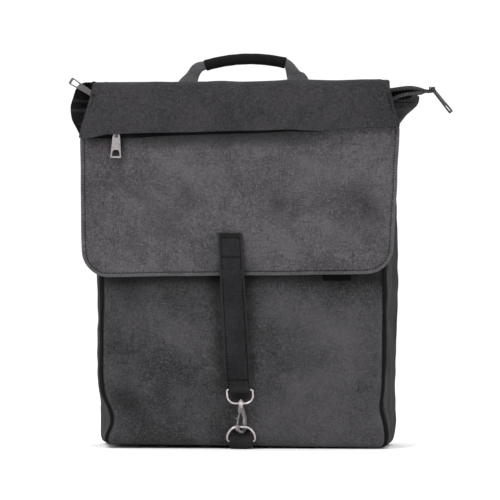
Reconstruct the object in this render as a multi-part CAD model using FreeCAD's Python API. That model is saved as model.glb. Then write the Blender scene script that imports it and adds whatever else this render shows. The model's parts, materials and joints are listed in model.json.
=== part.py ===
"""Tall flap-over messenger bag in waxed canvas, as separate cut pieces, hardware and moving parts.

Frame: millimetres, +X to the right seen from the front, +Y towards the back panel, +Z up.
The origin is the middle of the flat base. The bag stands on its base with its flap closed and hooked.
"""
import FreeCAD
import Part
import math
import os

V = FreeCAD.Vector
os.makedirs("parts", exist_ok=True)

# ---- driving dimensions ----
BODY_HEIGHT = 385.0          # canvas walls, floor to mouth
FRONT_HALF_WIDTH = 154.0
BACK_HALF_WIDTH = 166.0
MOUTH_BACK_HALF_WIDTH = 160.0
FRONT_Y = -60.0              # front wall at the floor
MOUTH_FRONT_Y = -42.0        # front wall at the mouth
BACK_Y = 55.0
WALL = 3.0                   # canvas with lining
BACK_WALL = 5.0              # foam-backed canvas
BASE_WALL = 4.0
CORNER_RADIUS = 12.0
SEAM_X = 148.0               # where front and back panels meet the gussets

FLAP_Z = 405.0               # level of both flap creases
FLAP_TOP_HALF_WIDTH = 164.0
FLAP_WIDEST_HALF = 178.0
FLAP_HEM_HALF = 174.0
FLAP_HEM_Z = 197.0
BAND_HEM_Z = 348.0
CREASE_FRONT_Y = -54.0
CREASE_REAR_Y = 56.0
FLAP_FRONT_Y = -62.5         # inner face of the hanging flap
FLAP_THICK = 2.2
FLAP_TOP_THICK = 3.0
FLAP_CORNER = 30.0           # radius of the flap's lower corners
CORNER_STEPS = 6
LINING_THICK = 0.8
LINING_INSET = 2.0
LABEL_SPAN = (96.0, 123.0)   # x of the hem label's sides
LABEL_DROP = 10.0

BAND_GAP = 7.0               # room for the pocket slider behind the band
BAND_THICK = 1.6
JOINER_HEIGHT = 7.0          # seam that joins the band to the flap
POCKET_ZIP_HALF = 152.0
POCKET_TAPE_THICK = 0.8
MOUTH_SPREAD = 30.0          # half of the open zipper's width
MOUTH_CLOSED = 2.6           # half width where the tapes are drawn together
OPEN_HALF = 128.0            # half of the zipper's wide straight run
MOUTH_LEFT_X = 169.0         # left end of the zipper
MOUTH_RIGHT_X = 160.0
TAPE_THICK = 1.2
TAPE_TOP = 398.0
COIL_SIZE = 1.8
FACING_HALF = 126.0          # cloth strips between the walls and the zipper
FACING_TOP = 391.0
FACING_THICK = 1.4
TAIL_Z = 398.5               # level of the zipper tail's end
TAIL_END_X = 206.0
WING_THICK = 2.0
WING_RIGHT_Y = (14.0, 46.0)   # how far front to back each folded wing reaches
WING_LEFT_Y = (6.0, 44.0)
TAIL_GAP = 1.2               # half of the slit between the two tail layers
TAIL_WIDTH = 11.8


BOARD_HALF = 145.0           # stiff board in the bottom
BOARD_FRONT_Y = -52.0
BOARD_THICK = 3.0
SLEEVE_HALF = 140.0          # padded laptop sleeve on the back wall
SLEEVE_FRONT_Y = 28.0
SLEEVE_TOP = 300.0
SLEEVE_PADDING = 5.0
SLEEVE_SIDE = 4.0
SLEEVE_FLOOR = 6.0
POCKET_HALF = 100.0          # flat organiser pocket on the sleeve
POCKET_DEPTH = 11.0
POCKET_LOW = 30.0
POCKET_TOP = 190.0
POCKET_CLOTH = 1.5

STRAP_WIDTH = 27.6
STRAP_THICK = 3.0
STRAP_TOP = (-12.2, 238.0)   # centre of its stitched end, x and z
STRAP_FOOT = (-2.4, 66.0)    # centre of its lower fold, x and z
STRAP_Y = -68.2              # inner face of the closure strap
STRAP_FOLD_RADIUS = 3.4      # rolled fold round the snap loop
LOOP_SHIFT = 0.9             # loop's upper bar, right of the strap's foot
SNAP_Y = -70.0               # plane in which loop, hook and ring hang

SOFT_GAP = 0.3               # gap between soft pieces on different bodies

HANDLE_Y = 66.0
HANDLE_FOOT_Z = 388.0        # level of the handle's hinge line
HANDLE_FEET = (52.0, 75.0)   # x of one leg's inner and outer edge
LEG_THICK = 3.0
PATCH_HEIGHT = 44.0
PATCH_THICK = 2.6
GRIP_RADIUS = 6.5
GRIP_END = (44.6, 427.5)     # x and z of the grip's right end
GRIP_CROWN_Z = 434.5

SHOULDER_X = 126.0
SHOULDER_AXIS = (64.0, 372.0)   # y and z of the ring bars in their tabs
WEBBING_WIDTH = 38.0
WEBBING_THICK = 2.6
SHOULDER_ROD = 2.0
SHOULDER_RING_DROP = 26.0    # from the ring's bar down to its crown
SHOULDER_RING_HALF = 22.0
CATENARY = 46.5              # shape constant of the hanging shoulder strap
CURVE_STEPS = 28
ADJUSTER_LOW_Z = 262.0
STRAP_LOW_Z = 28.0


# ---- helpers ----
def save(name, shape):
    """Write one named sub-part."""
    if isinstance(shape, list):
        shape = Part.makeCompound(shape)
    shape.exportStep(os.path.join("parts", name + ".step"))
    volume = sum(s.Volume for s in shape.Solids)
    print(f"{name:24s} solids {len(shape.Solids)} volume {volume:10.1f} valid {shape.isValid()}")


def block(x0, x1, y0, y1, z0, z1):
    """Box between two corners."""
    return Part.makeBox(x1 - x0, y1 - y0, z1 - z0, V(x0, y0, z0))


def prism(points, direction):
    """Extrude a closed flat outline along a vector."""
    outline = [V(*p) for p in points]
    return Part.Face(Part.makePolygon(outline + outline[:1])).extrude(V(*direction))


def bar(start, end, radius):
    """Round bar between two points."""
    a, b = V(*start), V(*end)
    return Part.makeCylinder(radius, (b - a).Length, a, b - a)


def rounded_loop(points, radii):
    """Closed wire of straight runs joined by tangent arcs, one radius for each corner."""
    pts = [V(*p) for p in points]
    count = len(pts)
    cuts = {}
    for i, radius in enumerate(radii):
        here = pts[i]
        back = (pts[i - 1] - here).normalize()
        ahead = (pts[(i + 1) % count] - here).normalize()
        half = back.getAngle(ahead) / 2
        reach = radius / math.tan(half)
        middle = (back + ahead).normalize() * (radius / math.sin(half) - radius)
        cuts[i] = (here + back * reach, here + middle, here + ahead * reach)
    edges = []
    for i in range(count):
        j = (i + 1) % count
        leave, arrive = cuts[i][2], cuts[j][0]
        if (arrive - leave).Length > 1e-4:
            edges.append(Part.LineSegment(leave, arrive).toShape())
        edges.append(Part.Arc(*cuts[j]).toShape())
    return Part.Wire(edges)


def swept_rod(path, radius):
    """Round wire of one radius along a path."""
    first = path.Edges[0]
    start = first.valueAt(first.FirstParameter)
    tangent = first.tangentAt(first.FirstParameter)
    ring = Part.Wire(Part.makeCircle(radius, start, tangent))
    return path.makePipeShell([ring], True, False, 2)


def ribbon(points, thick, low, high, plane="XY"):
    """Flat band on edge: a polyline thickened both sides, then extruded across its plane."""
    left, right = [], []
    count = len(points)
    for i, (a, b) in enumerate(points):
        before = points[max(i - 1, 0)]
        after = points[min(i + 1, count - 1)]
        one = (a - before[0], b - before[1]) if i else (after[0] - a, after[1] - b)
        two = (after[0] - a, after[1] - b) if i < count - 1 else one
        n1 = (-one[1] / math.hypot(*one), one[0] / math.hypot(*one))
        n2 = (-two[1] / math.hypot(*two), two[0] / math.hypot(*two))
        mid = (n1[0] + n2[0], n1[1] + n2[1])
        scale = thick / (1 + n1[0] * n2[0] + n1[1] * n2[1]) / 2
        left.append((a + mid[0] * scale, b + mid[1] * scale))
        right.append((a - mid[0] * scale, b - mid[1] * scale))
    loop = left + right[::-1]
    if plane == "XY":
        return prism([(a, b, low) for a, b in loop], (0, 0, high - low))
    return prism([(a, low, b) for a, b in loop], (0, high - low, 0))


# ---- body ----
def tapered(inset_front, inset_back, inset_side, z0, z1, radius):
    """Wedge-shaped volume of the bag, wider and upright at the back."""
    def section(z):
        share = max(0.0, z) / BODY_HEIGHT
        front = FRONT_Y + (MOUTH_FRONT_Y - FRONT_Y) * share + inset_front
        back = BACK_Y - inset_back
        half_front = FRONT_HALF_WIDTH - inset_side
        half_back = BACK_HALF_WIDTH + (MOUTH_BACK_HALF_WIDTH - BACK_HALF_WIDTH) * share - inset_side
        corners = [V(-half_front, front, z), V(half_front, front, z),
                   V(half_back, back, z), V(-half_back, back, z)]
        return Part.makePolygon(corners + corners[:1])
    solid = Part.makeLoft([section(z0), section(z1)], True, True)
    upright = [e for e in solid.Edges
               if abs(e.Vertexes[0].Z - e.Vertexes[1].Z) > (z1 - z0) / 2]
    return solid.makeFillet(radius, upright)


def make_body():
    """Canvas walls: front, back, two gussets and the base panel."""
    outer = tapered(0, 0, 0, 0, BODY_HEIGHT, CORNER_RADIUS)
    inner = tapered(WALL, BACK_WALL, WALL, BASE_WALL, BODY_HEIGHT + 1, CORNER_RADIUS - WALL)
    walls = outer.cut(inner)
    far = 300.0
    save("base_panel", outer.common(block(-far, far, -far, far, -1, BASE_WALL)))
    upper = walls.common(block(-far, far, -far, far, BASE_WALL, BODY_HEIGHT + 1))
    save("front_panel", upper.common(block(-SEAM_X, SEAM_X, -far, 0, 0, far * 2)))
    collar_top = FLAP_Z - FLAP_TOP_THICK / 2 - SOFT_GAP
    collar = block(-SEAM_X, SEAM_X, BACK_Y - BACK_WALL, BACK_Y, BODY_HEIGHT, collar_top)
    back = upper.common(block(-SEAM_X, SEAM_X, 0, far, 0, far * 2))
    save("back_panel", back.fuse(collar).removeSplitter())
    save("gusset_left", upper.common(block(-far, -SEAM_X, -far, far, 0, far * 2)))
    save("gusset_right", upper.common(block(SEAM_X, far, -far, far, 0, far * 2)))


def make_inside():
    """Stiff base board, padded laptop sleeve and the organiser pocket on its front."""
    board_top = BASE_WALL + BOARD_THICK
    board_rear = SLEEVE_FRONT_Y - 1.0
    save("base_board", block(-BOARD_HALF, BOARD_HALF, BOARD_FRONT_Y, board_rear, BASE_WALL, board_top))
    back = BACK_Y - BACK_WALL
    outer = block(-SLEEVE_HALF, SLEEVE_HALF, SLEEVE_FRONT_Y, back, BASE_WALL, SLEEVE_TOP)
    hollow_half = SLEEVE_HALF - SLEEVE_SIDE
    hollow_low = BASE_WALL + SLEEVE_FLOOR
    hollow_front = SLEEVE_FRONT_Y + SLEEVE_PADDING
    hollow = block(-hollow_half, hollow_half, hollow_front, back, hollow_low, SLEEVE_TOP + 1)
    save("laptop_sleeve", outer.cut(hollow))
    front = SLEEVE_FRONT_Y - POCKET_DEPTH
    pocket = block(-POCKET_HALF, POCKET_HALF, front, SLEEVE_FRONT_Y, POCKET_LOW, POCKET_TOP)
    cloth = POCKET_CLOTH
    room = block(cloth - POCKET_HALF, POCKET_HALF - cloth, front + cloth, SLEEVE_FRONT_Y,
                 POCKET_LOW + cloth, POCKET_TOP + 1)
    save("inner_pocket", pocket.cut(room))


def mouth_line(side):
    """Plan of one zip tape: long straight run, drawn together at both ends of the mouth."""
    far, near = side * MOUTH_SPREAD, side * MOUTH_CLOSED
    return [(-MOUTH_LEFT_X, near), (-SEAM_X, near), (-OPEN_HALF, far),
            (OPEN_HALF, far), (SEAM_X, near), (MOUTH_RIGHT_X, near)]


def make_mouth():
    """Open main zipper along the mouth: facings, tapes, coils and the tail beyond the right end."""
    low, high = BODY_HEIGHT + SOFT_GAP, TAPE_TOP
    walls = (("front", -1, MOUTH_FRONT_Y + WALL + SOFT_GAP), ("rear", 1, BACK_Y - BACK_WALL - SOFT_GAP))
    for name, side, wall_y in walls:
        save(f"zip_tape_{name}", ribbon(mouth_line(side), TAPE_THICK, low, high))
        save(f"zip_coil_{name}", ribbon(mouth_line(side), COIL_SIZE, high, high + COIL_SIZE))
        tape_y = side * (MOUTH_SPREAD + TAPE_THICK / 2)
        slope = [(-FACING_HALF, wall_y, low),
                 (-FACING_HALF, tape_y, FACING_TOP),
                 (-FACING_HALF, tape_y, FACING_TOP + FACING_THICK),
                 (-FACING_HALF, wall_y, low + FACING_THICK)]
        save(f"mouth_facing_{name}", prism(slope, (2 * FACING_HALF, 0, 0)))
    # side profiles of the two tail layers, as x and z, rising to the slider at the end
    start_x = MOUTH_RIGHT_X + SOFT_GAP
    end = TAIL_END_X
    upper = [(start_x, TAIL_Z - 9.5), (end - 36, TAIL_Z - 6), (end - 26, TAIL_Z - 2), (end - 18, TAIL_Z),
             (end, TAIL_Z)]
    lower = [(start_x, TAIL_Z - 13.0), (end - 34, TAIL_Z - 10.5), (end - 24, TAIL_Z - 6.5),
             (end - 17, TAIL_Z - 2), (end - 12, TAIL_Z), (end, TAIL_Z)]
    far = TAIL_GAP + TAIL_WIDTH
    save("zip_tail_rear", ribbon(upper, TAPE_THICK, TAIL_GAP, far, plane="XZ"))
    save("zip_tail_front", ribbon(lower, TAPE_THICK, -far, -TAIL_GAP, plane="XZ"))


def make_wings():
    """Gusset tops that fold outwards beside the flap when the mouth is open."""
    # folded-out profiles as x and z, from the gusset outwards
    right = [(166.5, 352), (176, 366), (188, 377), (197, 387), (198, 392), (190, 390.5)]
    left = [(-167, 340), (-176, 350), (-184, 366), (-188, 380), (-186, 395), (-181, 400)]
    save("wing_right", ribbon(right, WING_THICK, *WING_RIGHT_Y, plane="XZ"))
    save("wing_left", ribbon(left, WING_THICK, *WING_LEFT_Y, plane="XZ"))


# ---- flap ----
def flap_outline(y, inset):
    """Flap front outline: narrow at the crease, widest at the band hem, rounded lower corners."""
    low = FLAP_HEM_Z + inset
    hem = FLAP_HEM_HALF - inset
    side = [(FLAP_TOP_HALF_WIDTH - inset, FLAP_Z), (FLAP_WIDEST_HALF - inset, BAND_HEM_Z),
            (hem, low + FLAP_CORNER)]
    for step in range(1, CORNER_STEPS + 1):
        turn = math.radians(90 * step / CORNER_STEPS)
        x = hem - FLAP_CORNER * (1 - math.cos(turn))
        side.append((x, low + FLAP_CORNER * (1 - math.sin(turn))))
    return [(x, y, z) for x, z in side] + [(-x, y, z) for x, z in side[::-1]]


def make_flap():
    """Top panel over the mouth, hanging front panel with its lining, and the upper band."""
    half = FLAP_TOP_HALF_WIDTH
    rise = FLAP_TOP_THICK / 2
    fold_y = CREASE_FRONT_Y + SOFT_GAP
    save("flap_top", block(-half, half, fold_y, CREASE_REAR_Y, FLAP_Z - rise, FLAP_Z + rise))
    front = FLAP_FRONT_Y - FLAP_THICK
    lining_y = FLAP_FRONT_Y - LINING_THICK
    save("flap_front", prism(flap_outline(front, 0.0), (0, FLAP_THICK - LINING_THICK, 0)))
    save("flap_lining", prism(flap_outline(lining_y, LINING_INSET), (0, LINING_THICK, 0)))
    fold_half = half - LINING_INSET
    fold_low = FLAP_Z - FLAP_TOP_THICK
    fold_rear = CREASE_FRONT_Y - SOFT_GAP
    save("flap_crease", block(-fold_half, fold_half, FLAP_FRONT_Y, fold_rear, fold_low, FLAP_Z))

    band_y = front - BAND_GAP - BAND_THICK
    top = FLAP_Z + 1.0
    low_half = FLAP_WIDEST_HALF + 0.6
    band = prism([(-half, band_y, top), (half, band_y, top),
                  (low_half, band_y, BAND_HEM_Z), (-low_half, band_y, BAND_HEM_Z)], (0, BAND_THICK, 0))
    save("flap_band", band)
    save("band_joiner", block(-half, half, band_y + BAND_THICK, front, top - JOINER_HEIGHT, top))


def make_flap_pocket():
    """Hidden zipper below the band hem."""
    front = FLAP_FRONT_Y - FLAP_THICK
    tape_y = front - POCKET_TAPE_THICK
    level = POCKET_SLIDER[1]
    half = POCKET_ZIP_HALF
    coil_half = COIL_SIZE / 2 + 1.1
    save("flap_zip_tape", block(-half, half, tape_y, front, level - 9, level + 11))
    coil = block(4 - half, half - 4, tape_y - 1.2, tape_y, level - coil_half, level + coil_half)
    save("flap_zip_coil", coil)


def make_label():
    """Blank woven tab sewn into the flap hem."""
    front = FLAP_FRONT_Y - 2 * LINING_THICK
    back = FLAP_FRONT_Y - LINING_THICK
    save("label_tab", block(*LABEL_SPAN, front, back, FLAP_HEM_Z - LABEL_DROP, FLAP_HEM_Z))


def strap_centre(z):
    """Centre of the slanting closure strap at a height."""
    share = (STRAP_TOP[1] - z) / (STRAP_TOP[1] - STRAP_FOOT[1])
    return STRAP_TOP[0] + (STRAP_FOOT[0] - STRAP_TOP[0]) * share


def strap_length(z_low, z_high):
    """Stretch of the strap between two heights."""
    half = STRAP_WIDTH / 2
    y = STRAP_Y - STRAP_THICK
    corners = [(strap_centre(z_low) - half, y, z_low), (strap_centre(z_low) + half, y, z_low),
               (strap_centre(z_high) + half, y, z_high), (strap_centre(z_high) - half, y, z_high)]
    return prism(corners, (0, STRAP_THICK, 0))


def make_closure_strap():
    """Strap sewn to the flap, then free below the hem to the fold that holds the snap loop."""
    sewn = strap_length(FLAP_HEM_Z + SOFT_GAP, STRAP_TOP[1])
    sewn_low, sewn_high = FLAP_HEM_Z + 9, STRAP_TOP[1] - 4
    centre = strap_centre(sewn_low + 14)
    half = STRAP_WIDTH / 2 - 2.5
    spacer = block(centre - half, centre + half, STRAP_Y, FLAP_FRONT_Y - FLAP_THICK, sewn_low, sewn_high)
    save("strap_sewn_end", sewn.fuse(spacer).removeSplitter())

    y, z = SNAP_Y, STRAP_FOOT[1]
    free = strap_length(z + STRAP_THICK, FLAP_HEM_Z - SOFT_GAP)
    half = STRAP_WIDTH / 2 - 1.6
    centre = STRAP_FOOT[0] + LOOP_SHIFT
    fold = bar((centre - half, y, z), (centre + half, y, z), STRAP_FOLD_RADIUS)
    bore = bar((-STRAP_WIDTH, y, z), (STRAP_WIDTH, y, z), SNAP_BAR_RADIUS + 0.1)
    lower = block(centre - half, centre + half, STRAP_Y - STRAP_THICK, STRAP_Y, z, z + STRAP_THICK + 0.2)
    save("strap_free_end", free.fuse(lower).fuse(fold).cut(bore).removeSplitter())


# ---- swivel snap and its ring ----
SNAP_BAR_RADIUS = 1.2
SNAP_BAR_Z = 50.8            # lower bar of the oval loop, with the swivel boss
HOOK_TURN = 50.0             # degrees that the hook is turned about its swivel
HOOK_FOOT_Z = 19.0           # centre of the hook's lowest bend
EYE_RADIUS = 6.2             # centre line of the hook's lower bend
HOOK_HALF_THICK = 1.5
GATE_PIVOT = (-1.4, 43.0)    # in the hook's own plane
HOOK_WIDTH = 2.8
HOOK_STEPS = 12
LOOP_HALF = 14.4
BOSS_RADIUS = 3.1
BOSS_HALF = 2.0
RIVET_RADIUS = 1.25
RIVET_HEAD_RADIUS = 2.2
GATE_HALF = 0.55             # half of the gate lever's thickness
GATE_WIDTH = 1.5
PIN_RADIUS = 0.6
THUMB_RADIUS = 0.9
RING_RADIUS = 1.45
RING_HALF = 15.2
RING_SIDE = 7.6              # straight side of the ring, up from its bar
RING_CROWN_HALF = 9.0
RING_CROWN = 15.9
RING_TAB_HALF = 13.0
TAB_ROLL_RADIUS = 4.6        # webbing rolled round a ring's bar
TAB_THICK = 2.8
RING_AXIS = (-66.0, 9.0)     # y and z of the ring's straight bar
RING_LEAN = 13.0             # degrees forward


def turned_hook(shape):
    """Move a shape from the hook's own plane to its place on the swivel."""
    shape = shape.copy()
    shape.translate(V(0, SNAP_Y, 0))
    shape.rotate(V(0, SNAP_Y, 0), V(0, 0, 1), HOOK_TURN)
    return shape


def make_snap_loop():
    """Oval loop in the strap's fold, with a bored boss for the swivel."""
    y, top, low, half = SNAP_Y, STRAP_FOOT[1], SNAP_BAR_Z, LOOP_HALF
    centre = STRAP_FOOT[0] + LOOP_SHIFT
    corners = [(centre + half, y, top), (half, y, low), (-half, y, low), (centre - half, y, top)]
    upper_bend, lower_bend = 2.0, 9.0
    path = rounded_loop(corners, [upper_bend, lower_bend, lower_bend, upper_bend])
    loop = swept_rod(path, SNAP_BAR_RADIUS)
    boss = Part.makeCylinder(BOSS_RADIUS, 2 * BOSS_HALF, V(0, y, low - BOSS_HALF))
    bore = Part.makeCylinder(RIVET_RADIUS + 0.1, 5 * BOSS_HALF, V(0, y, low - 2.5 * BOSS_HALF))
    save("snap_loop", loop.fuse(boss).cut(bore).removeSplitter())


def make_snap_hook():
    """Hook with shank and rivet head, its gate lever and the gate's pin."""
    flat = HOOK_HALF_THICK
    foot = HOOK_FOOT_Z + EYE_RADIUS
    bend = [math.radians(-180.0 * step / HOOK_STEPS) for step in range(HOOK_STEPS + 1)]
    arc = [(EYE_RADIUS * math.cos(a), foot + EYE_RADIUS * math.sin(a)) for a in bend]
    shank = [(1.0, 47.0), (3.4, 42.0), (EYE_RADIUS, 34.0)]
    hook = ribbon(shank + arc + [(-EYE_RADIUS, foot + 2.0)], HOOK_WIDTH, -flat, flat, plane="XZ")

    boss_low, boss_top = SNAP_BAR_Z - BOSS_HALF, SNAP_BAR_Z + BOSS_HALF
    collar_height, head_height, play = 3.0, 1.2, 0.2
    collar_low = boss_low - collar_height - play
    hook = hook.fuse(Part.makeCylinder(BOSS_RADIUS, collar_height, V(0, 0, collar_low)))
    hook = hook.fuse(Part.makeCylinder(RIVET_RADIUS, 4 * BOSS_HALF, V(0, 0, boss_low - 1.5)))
    hook = hook.fuse(Part.makeCylinder(RIVET_HEAD_RADIUS, head_height, V(0, 0, boss_top + play)))

    x, z = GATE_PIVOT
    cheeks = block(x - 1.6, x + 3.8, -flat, flat, z - 2.0, z + 3.0)
    slot = block(x - 2.6, x + 1.8, -GATE_HALF - 0.07, GATE_HALF + 0.07, z - 5.0, z + 1.9)
    pin_hole = bar((x, -2 * flat, z), (x, 2 * flat, z), PIN_RADIUS)
    save("snap_hook", turned_hook(hook.fuse(cheeks).cut(slot).cut(pin_hole).removeSplitter()))
    save("gate_pin", turned_hook(bar((x, -flat, z), (x, flat, z), PIN_RADIUS)))

    lever = [(x, z + 1.1), (x - 0.4, z - 2.0), (x - 3.2, z - 9.0), (x - 4.2, foot + 2.6)]
    gate = ribbon(lever, GATE_WIDTH, -GATE_HALF, GATE_HALF, plane="XZ")
    thumb = bar((x - 3.3, 0, z - 10.0), (x - 6.2, 0, z - 8.8), THUMB_RADIUS)
    gate = gate.fuse(thumb).cut(bar((x, -2 * flat, z), (x, 2 * flat, z), PIN_RADIUS + 0.06))
    save("snap_gate", turned_hook(gate.removeSplitter()))


def make_ring():
    """Ring that the hook closes on, hinged in a webbing tab at the foot of the front."""
    y0, z0 = RING_AXIS
    lean = math.radians(RING_LEAN)

    def at(x, up):
        """Point on the leaning plane of the ring."""
        return (x, y0 - up * math.sin(lean), z0 + up * math.cos(lean))

    outline = [at(RING_HALF, 0), at(RING_HALF, RING_SIDE), at(RING_CROWN_HALF, RING_CROWN),
               at(-RING_CROWN_HALF, RING_CROWN), at(-RING_HALF, RING_SIDE), at(-RING_HALF, 0)]
    foot_bend, bend = 2.4, 9.5
    path = rounded_loop(outline, [foot_bend, bend, bend, bend, bend, foot_bend])
    save("closure_ring", swept_rod(path, RING_RADIUS))
    half, roll = RING_TAB_HALF, TAB_ROLL_RADIUS
    tab = bar((-half, y0, z0), (half, y0, z0), roll)
    tab = tab.fuse(block(-half, half, y0, FRONT_Y, z0 - roll, z0 - roll + TAB_THICK))
    bore = bar((-2 * half, y0, z0), (2 * half, y0, z0), RING_RADIUS + 0.1)
    save("ring_tab", tab.cut(bore).removeSplitter())


# ---- zip sliders and pullers, made flat about the puller's pivot and then placed ----
PULLER_LENGTH = 34.0
POCKET_PULLER_LENGTH = 26.5  # the pocket slider sits lower, just inside the band hem
POCKET_SLIDER = (-139.0, 351.0)
PLATE = 1.1                  # slider plate thickness
PIVOT_RISE = 1.2             # puller pivot above the slider's face
BAIL_HALF = 3.4
BAIL_FOOT = 1.1
BAIL_WIDTH = 1.3             # half of the arch's width across the puller's bar
BAR_ROOM = 1.2               # free space round the bar, from its centre
PULLER_THICK = 1.5
PULLER_END_HALF = 6.2
WINDOW_HALF = 3.9


def place(shape, origin, along, face):
    """Carry local +X to 'along' and local +Z to 'face', with the local origin at a point."""
    x = V(*along).normalize()
    z = V(*face).normalize()
    y = z.cross(x)
    shape = shape.copy()
    shape.Placement = FreeCAD.Placement(FreeCAD.Matrix(
        x.x, y.x, z.x, origin[0], x.y, y.y, z.y, origin[1], x.z, y.z, z.z, origin[2], 0, 0, 0, 1))
    return shape


def bail():
    """Arch over the pivot that traps the puller's cross bar."""
    half, foot = BAIL_HALF, BAIL_FOOT
    low, high = BAR_ROOM, BAR_ROOM + 1.0
    arch = block(-half, half, -BAIL_WIDTH, BAIL_WIDTH, low, high)
    for x in (-half, half - foot):
        arch = arch.fuse(block(x, x + foot, -BAIL_WIDTH, BAIL_WIDTH, -PIVOT_RISE, high))
    return arch


def puller_body(far=PULLER_LENGTH):
    """Flat puller along +X with a cross bar at its pivot and a window at its free end."""
    bar_half = PULLER_THICK / 2
    neck, shoulder, end, shoulder_x = 3.0, 4.2, PULLER_END_HALF, 8.0
    outline = [(-bar_half, -neck, -bar_half), (shoulder_x, -shoulder, -bar_half), (far, -end, -bar_half),
               (far, end, -bar_half), (shoulder_x, shoulder, -bar_half), (-bar_half, neck, -bar_half)]
    body = prism(outline, (0, 0, PULLER_THICK))
    tips = [e for e in body.Edges if all(abs(v.X - far) < 0.01 for v in e.Vertexes)
            and abs(e.Vertexes[0].Z - e.Vertexes[1].Z) > 1]
    body = body.makeFillet(1.6, tips)
    body = body.cut(block(far - 9.0, far - 2.0, -WINDOW_HALF, WINDOW_HALF, -PULLER_THICK, PULLER_THICK))
    return body.cut(block(bar_half, 5.2, -1.6, 1.6, -PULLER_THICK, PULLER_THICK))


def make_flap_slider():
    """Pocket slider behind the band hem, with its puller hanging below it."""
    face_y = FLAP_FRONT_Y - FLAP_THICK - 2.2
    x, z = POCKET_SLIDER
    plate = block(x - 4.2, x + 4.2, face_y - PLATE, face_y, z - 4.6, z + 4.6)
    pivot = (x, face_y - PLATE - PIVOT_RISE, z)
    body = plate.fuse(place(bail(), pivot, (0, 0, -1), (0, -1, 0)))
    save("flap_slider", body.removeSplitter())
    save("flap_puller", place(puller_body(POCKET_PULLER_LENGTH), pivot, (0, 0, -1), (0, -1, 0)))


def make_left_slider():
    """Saddle slider over both coils at the left end of the mouth, with its puller standing out."""
    x, low, top = MOUTH_LEFT_X - 4.0, TAPE_TOP - 9.0, TAPE_TOP + 3.6
    outer_y, inner_y = 4.8, 3.6
    outer = block(-x - 4.5, -x + 4.5, -outer_y, outer_y, low, top)
    saddle = outer.cut(block(-x - 9, -x + 9, -inner_y, inner_y, low - 9, top - 1.3))
    pivot = (-x - 2.0, -outer_y - PIVOT_RISE, low + 4.0)
    along = (-0.85, 0, 0.53)
    save("top_slider_left", saddle.fuse(place(bail(), pivot, along, (0, -1, 0))).removeSplitter())
    save("top_puller_left", place(puller_body(), pivot, along, (0, -1, 0)))


def make_right_slider():
    """Slider at the end of the zipper tail, with its puller hanging over the end."""
    x0, x1, half = TAIL_END_X - 5.0, TAIL_END_X + 4.0, 4.2
    gap = 0.9                    # tape room above and below the tail's level
    body = block(x0, x1, -half, half, TAIL_Z + gap, TAIL_Z + gap + PLATE)
    body = body.fuse(block(x0, x1, -half, half, TAIL_Z - gap - PLATE, TAIL_Z - gap))
    wedge = block(x1 - 1.8, x1 - 0.4, -0.9, 0.9, TAIL_Z - gap - 0.5, TAIL_Z + gap + 0.5)
    pivot_x, pivot_z = x1 + 1.6, TAIL_Z + gap + PLATE + 0.9
    arch_x, far_x, arch_z = x1 - 2.4, pivot_x + 2.8, pivot_z + 2.2
    arch = block(arch_x, arch_x + 1.2, -BAIL_WIDTH, BAIL_WIDTH, TAIL_Z + gap + 0.5, arch_z)
    arch = arch.fuse(block(arch_x, far_x, -BAIL_WIDTH, BAIL_WIDTH, arch_z - 1.0, arch_z))
    arch = arch.fuse(block(far_x - 1.0, far_x, -BAIL_WIDTH, BAIL_WIDTH, pivot_z - BAR_ROOM, arch_z))
    save("top_slider_right", body.fuse(wedge).fuse(arch).removeSplitter())
    save("top_puller_right", place(puller_body(), (pivot_x, 0, pivot_z), (0.62, 0, -0.78), (0.78, 0, 0.62)))


# ---- carry handle ----
def make_handle():
    """Webbing legs, wrapped grip and the patches sewn to the back panel."""
    y0, y1 = HANDLE_Y - LEG_THICK / 2, HANDLE_Y + LEG_THICK / 2
    foot = HANDLE_FOOT_Z + SOFT_GAP
    near, far = HANDLE_FEET
    # one leg's outline as x and z, slanting inwards from its foot to the end of the grip
    outline = [(far, foot), (far - 1, 409), (60, 425), (47, 433), (47, 422), (near - 1, 409), (near, foot)]
    for name, side in (("left", -1), ("right", 1)):
        leg = prism([(side * x, y0, z) for x, z in outline], (0, y1 - y0, 0))
        x0, x1 = sorted((side * near, side * far))
        step = block(x0, x1, BACK_Y + LEG_THICK, y1, foot, foot + LEG_THICK)
        save(f"handle_leg_{name}", leg.fuse(step).removeSplitter())
        patch_top = HANDLE_FOOT_Z - 4.0
        patch_low = patch_top - PATCH_HEIGHT
        patch = block(x0 - 2, x1 + 2, BACK_Y, BACK_Y + PATCH_THICK, patch_low, patch_top)
        save(f"handle_patch_{name}", patch)
    end_x, end_z = GRIP_END
    left, right = V(-end_x, HANDLE_Y, end_z), V(end_x, HANDLE_Y, end_z)
    arc = Part.Arc(left, V(0, HANDLE_Y, GRIP_CROWN_Z), right)
    save("handle_grip", swept_rod(Part.Wire([arc.toShape()]), GRIP_RADIUS))


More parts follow.
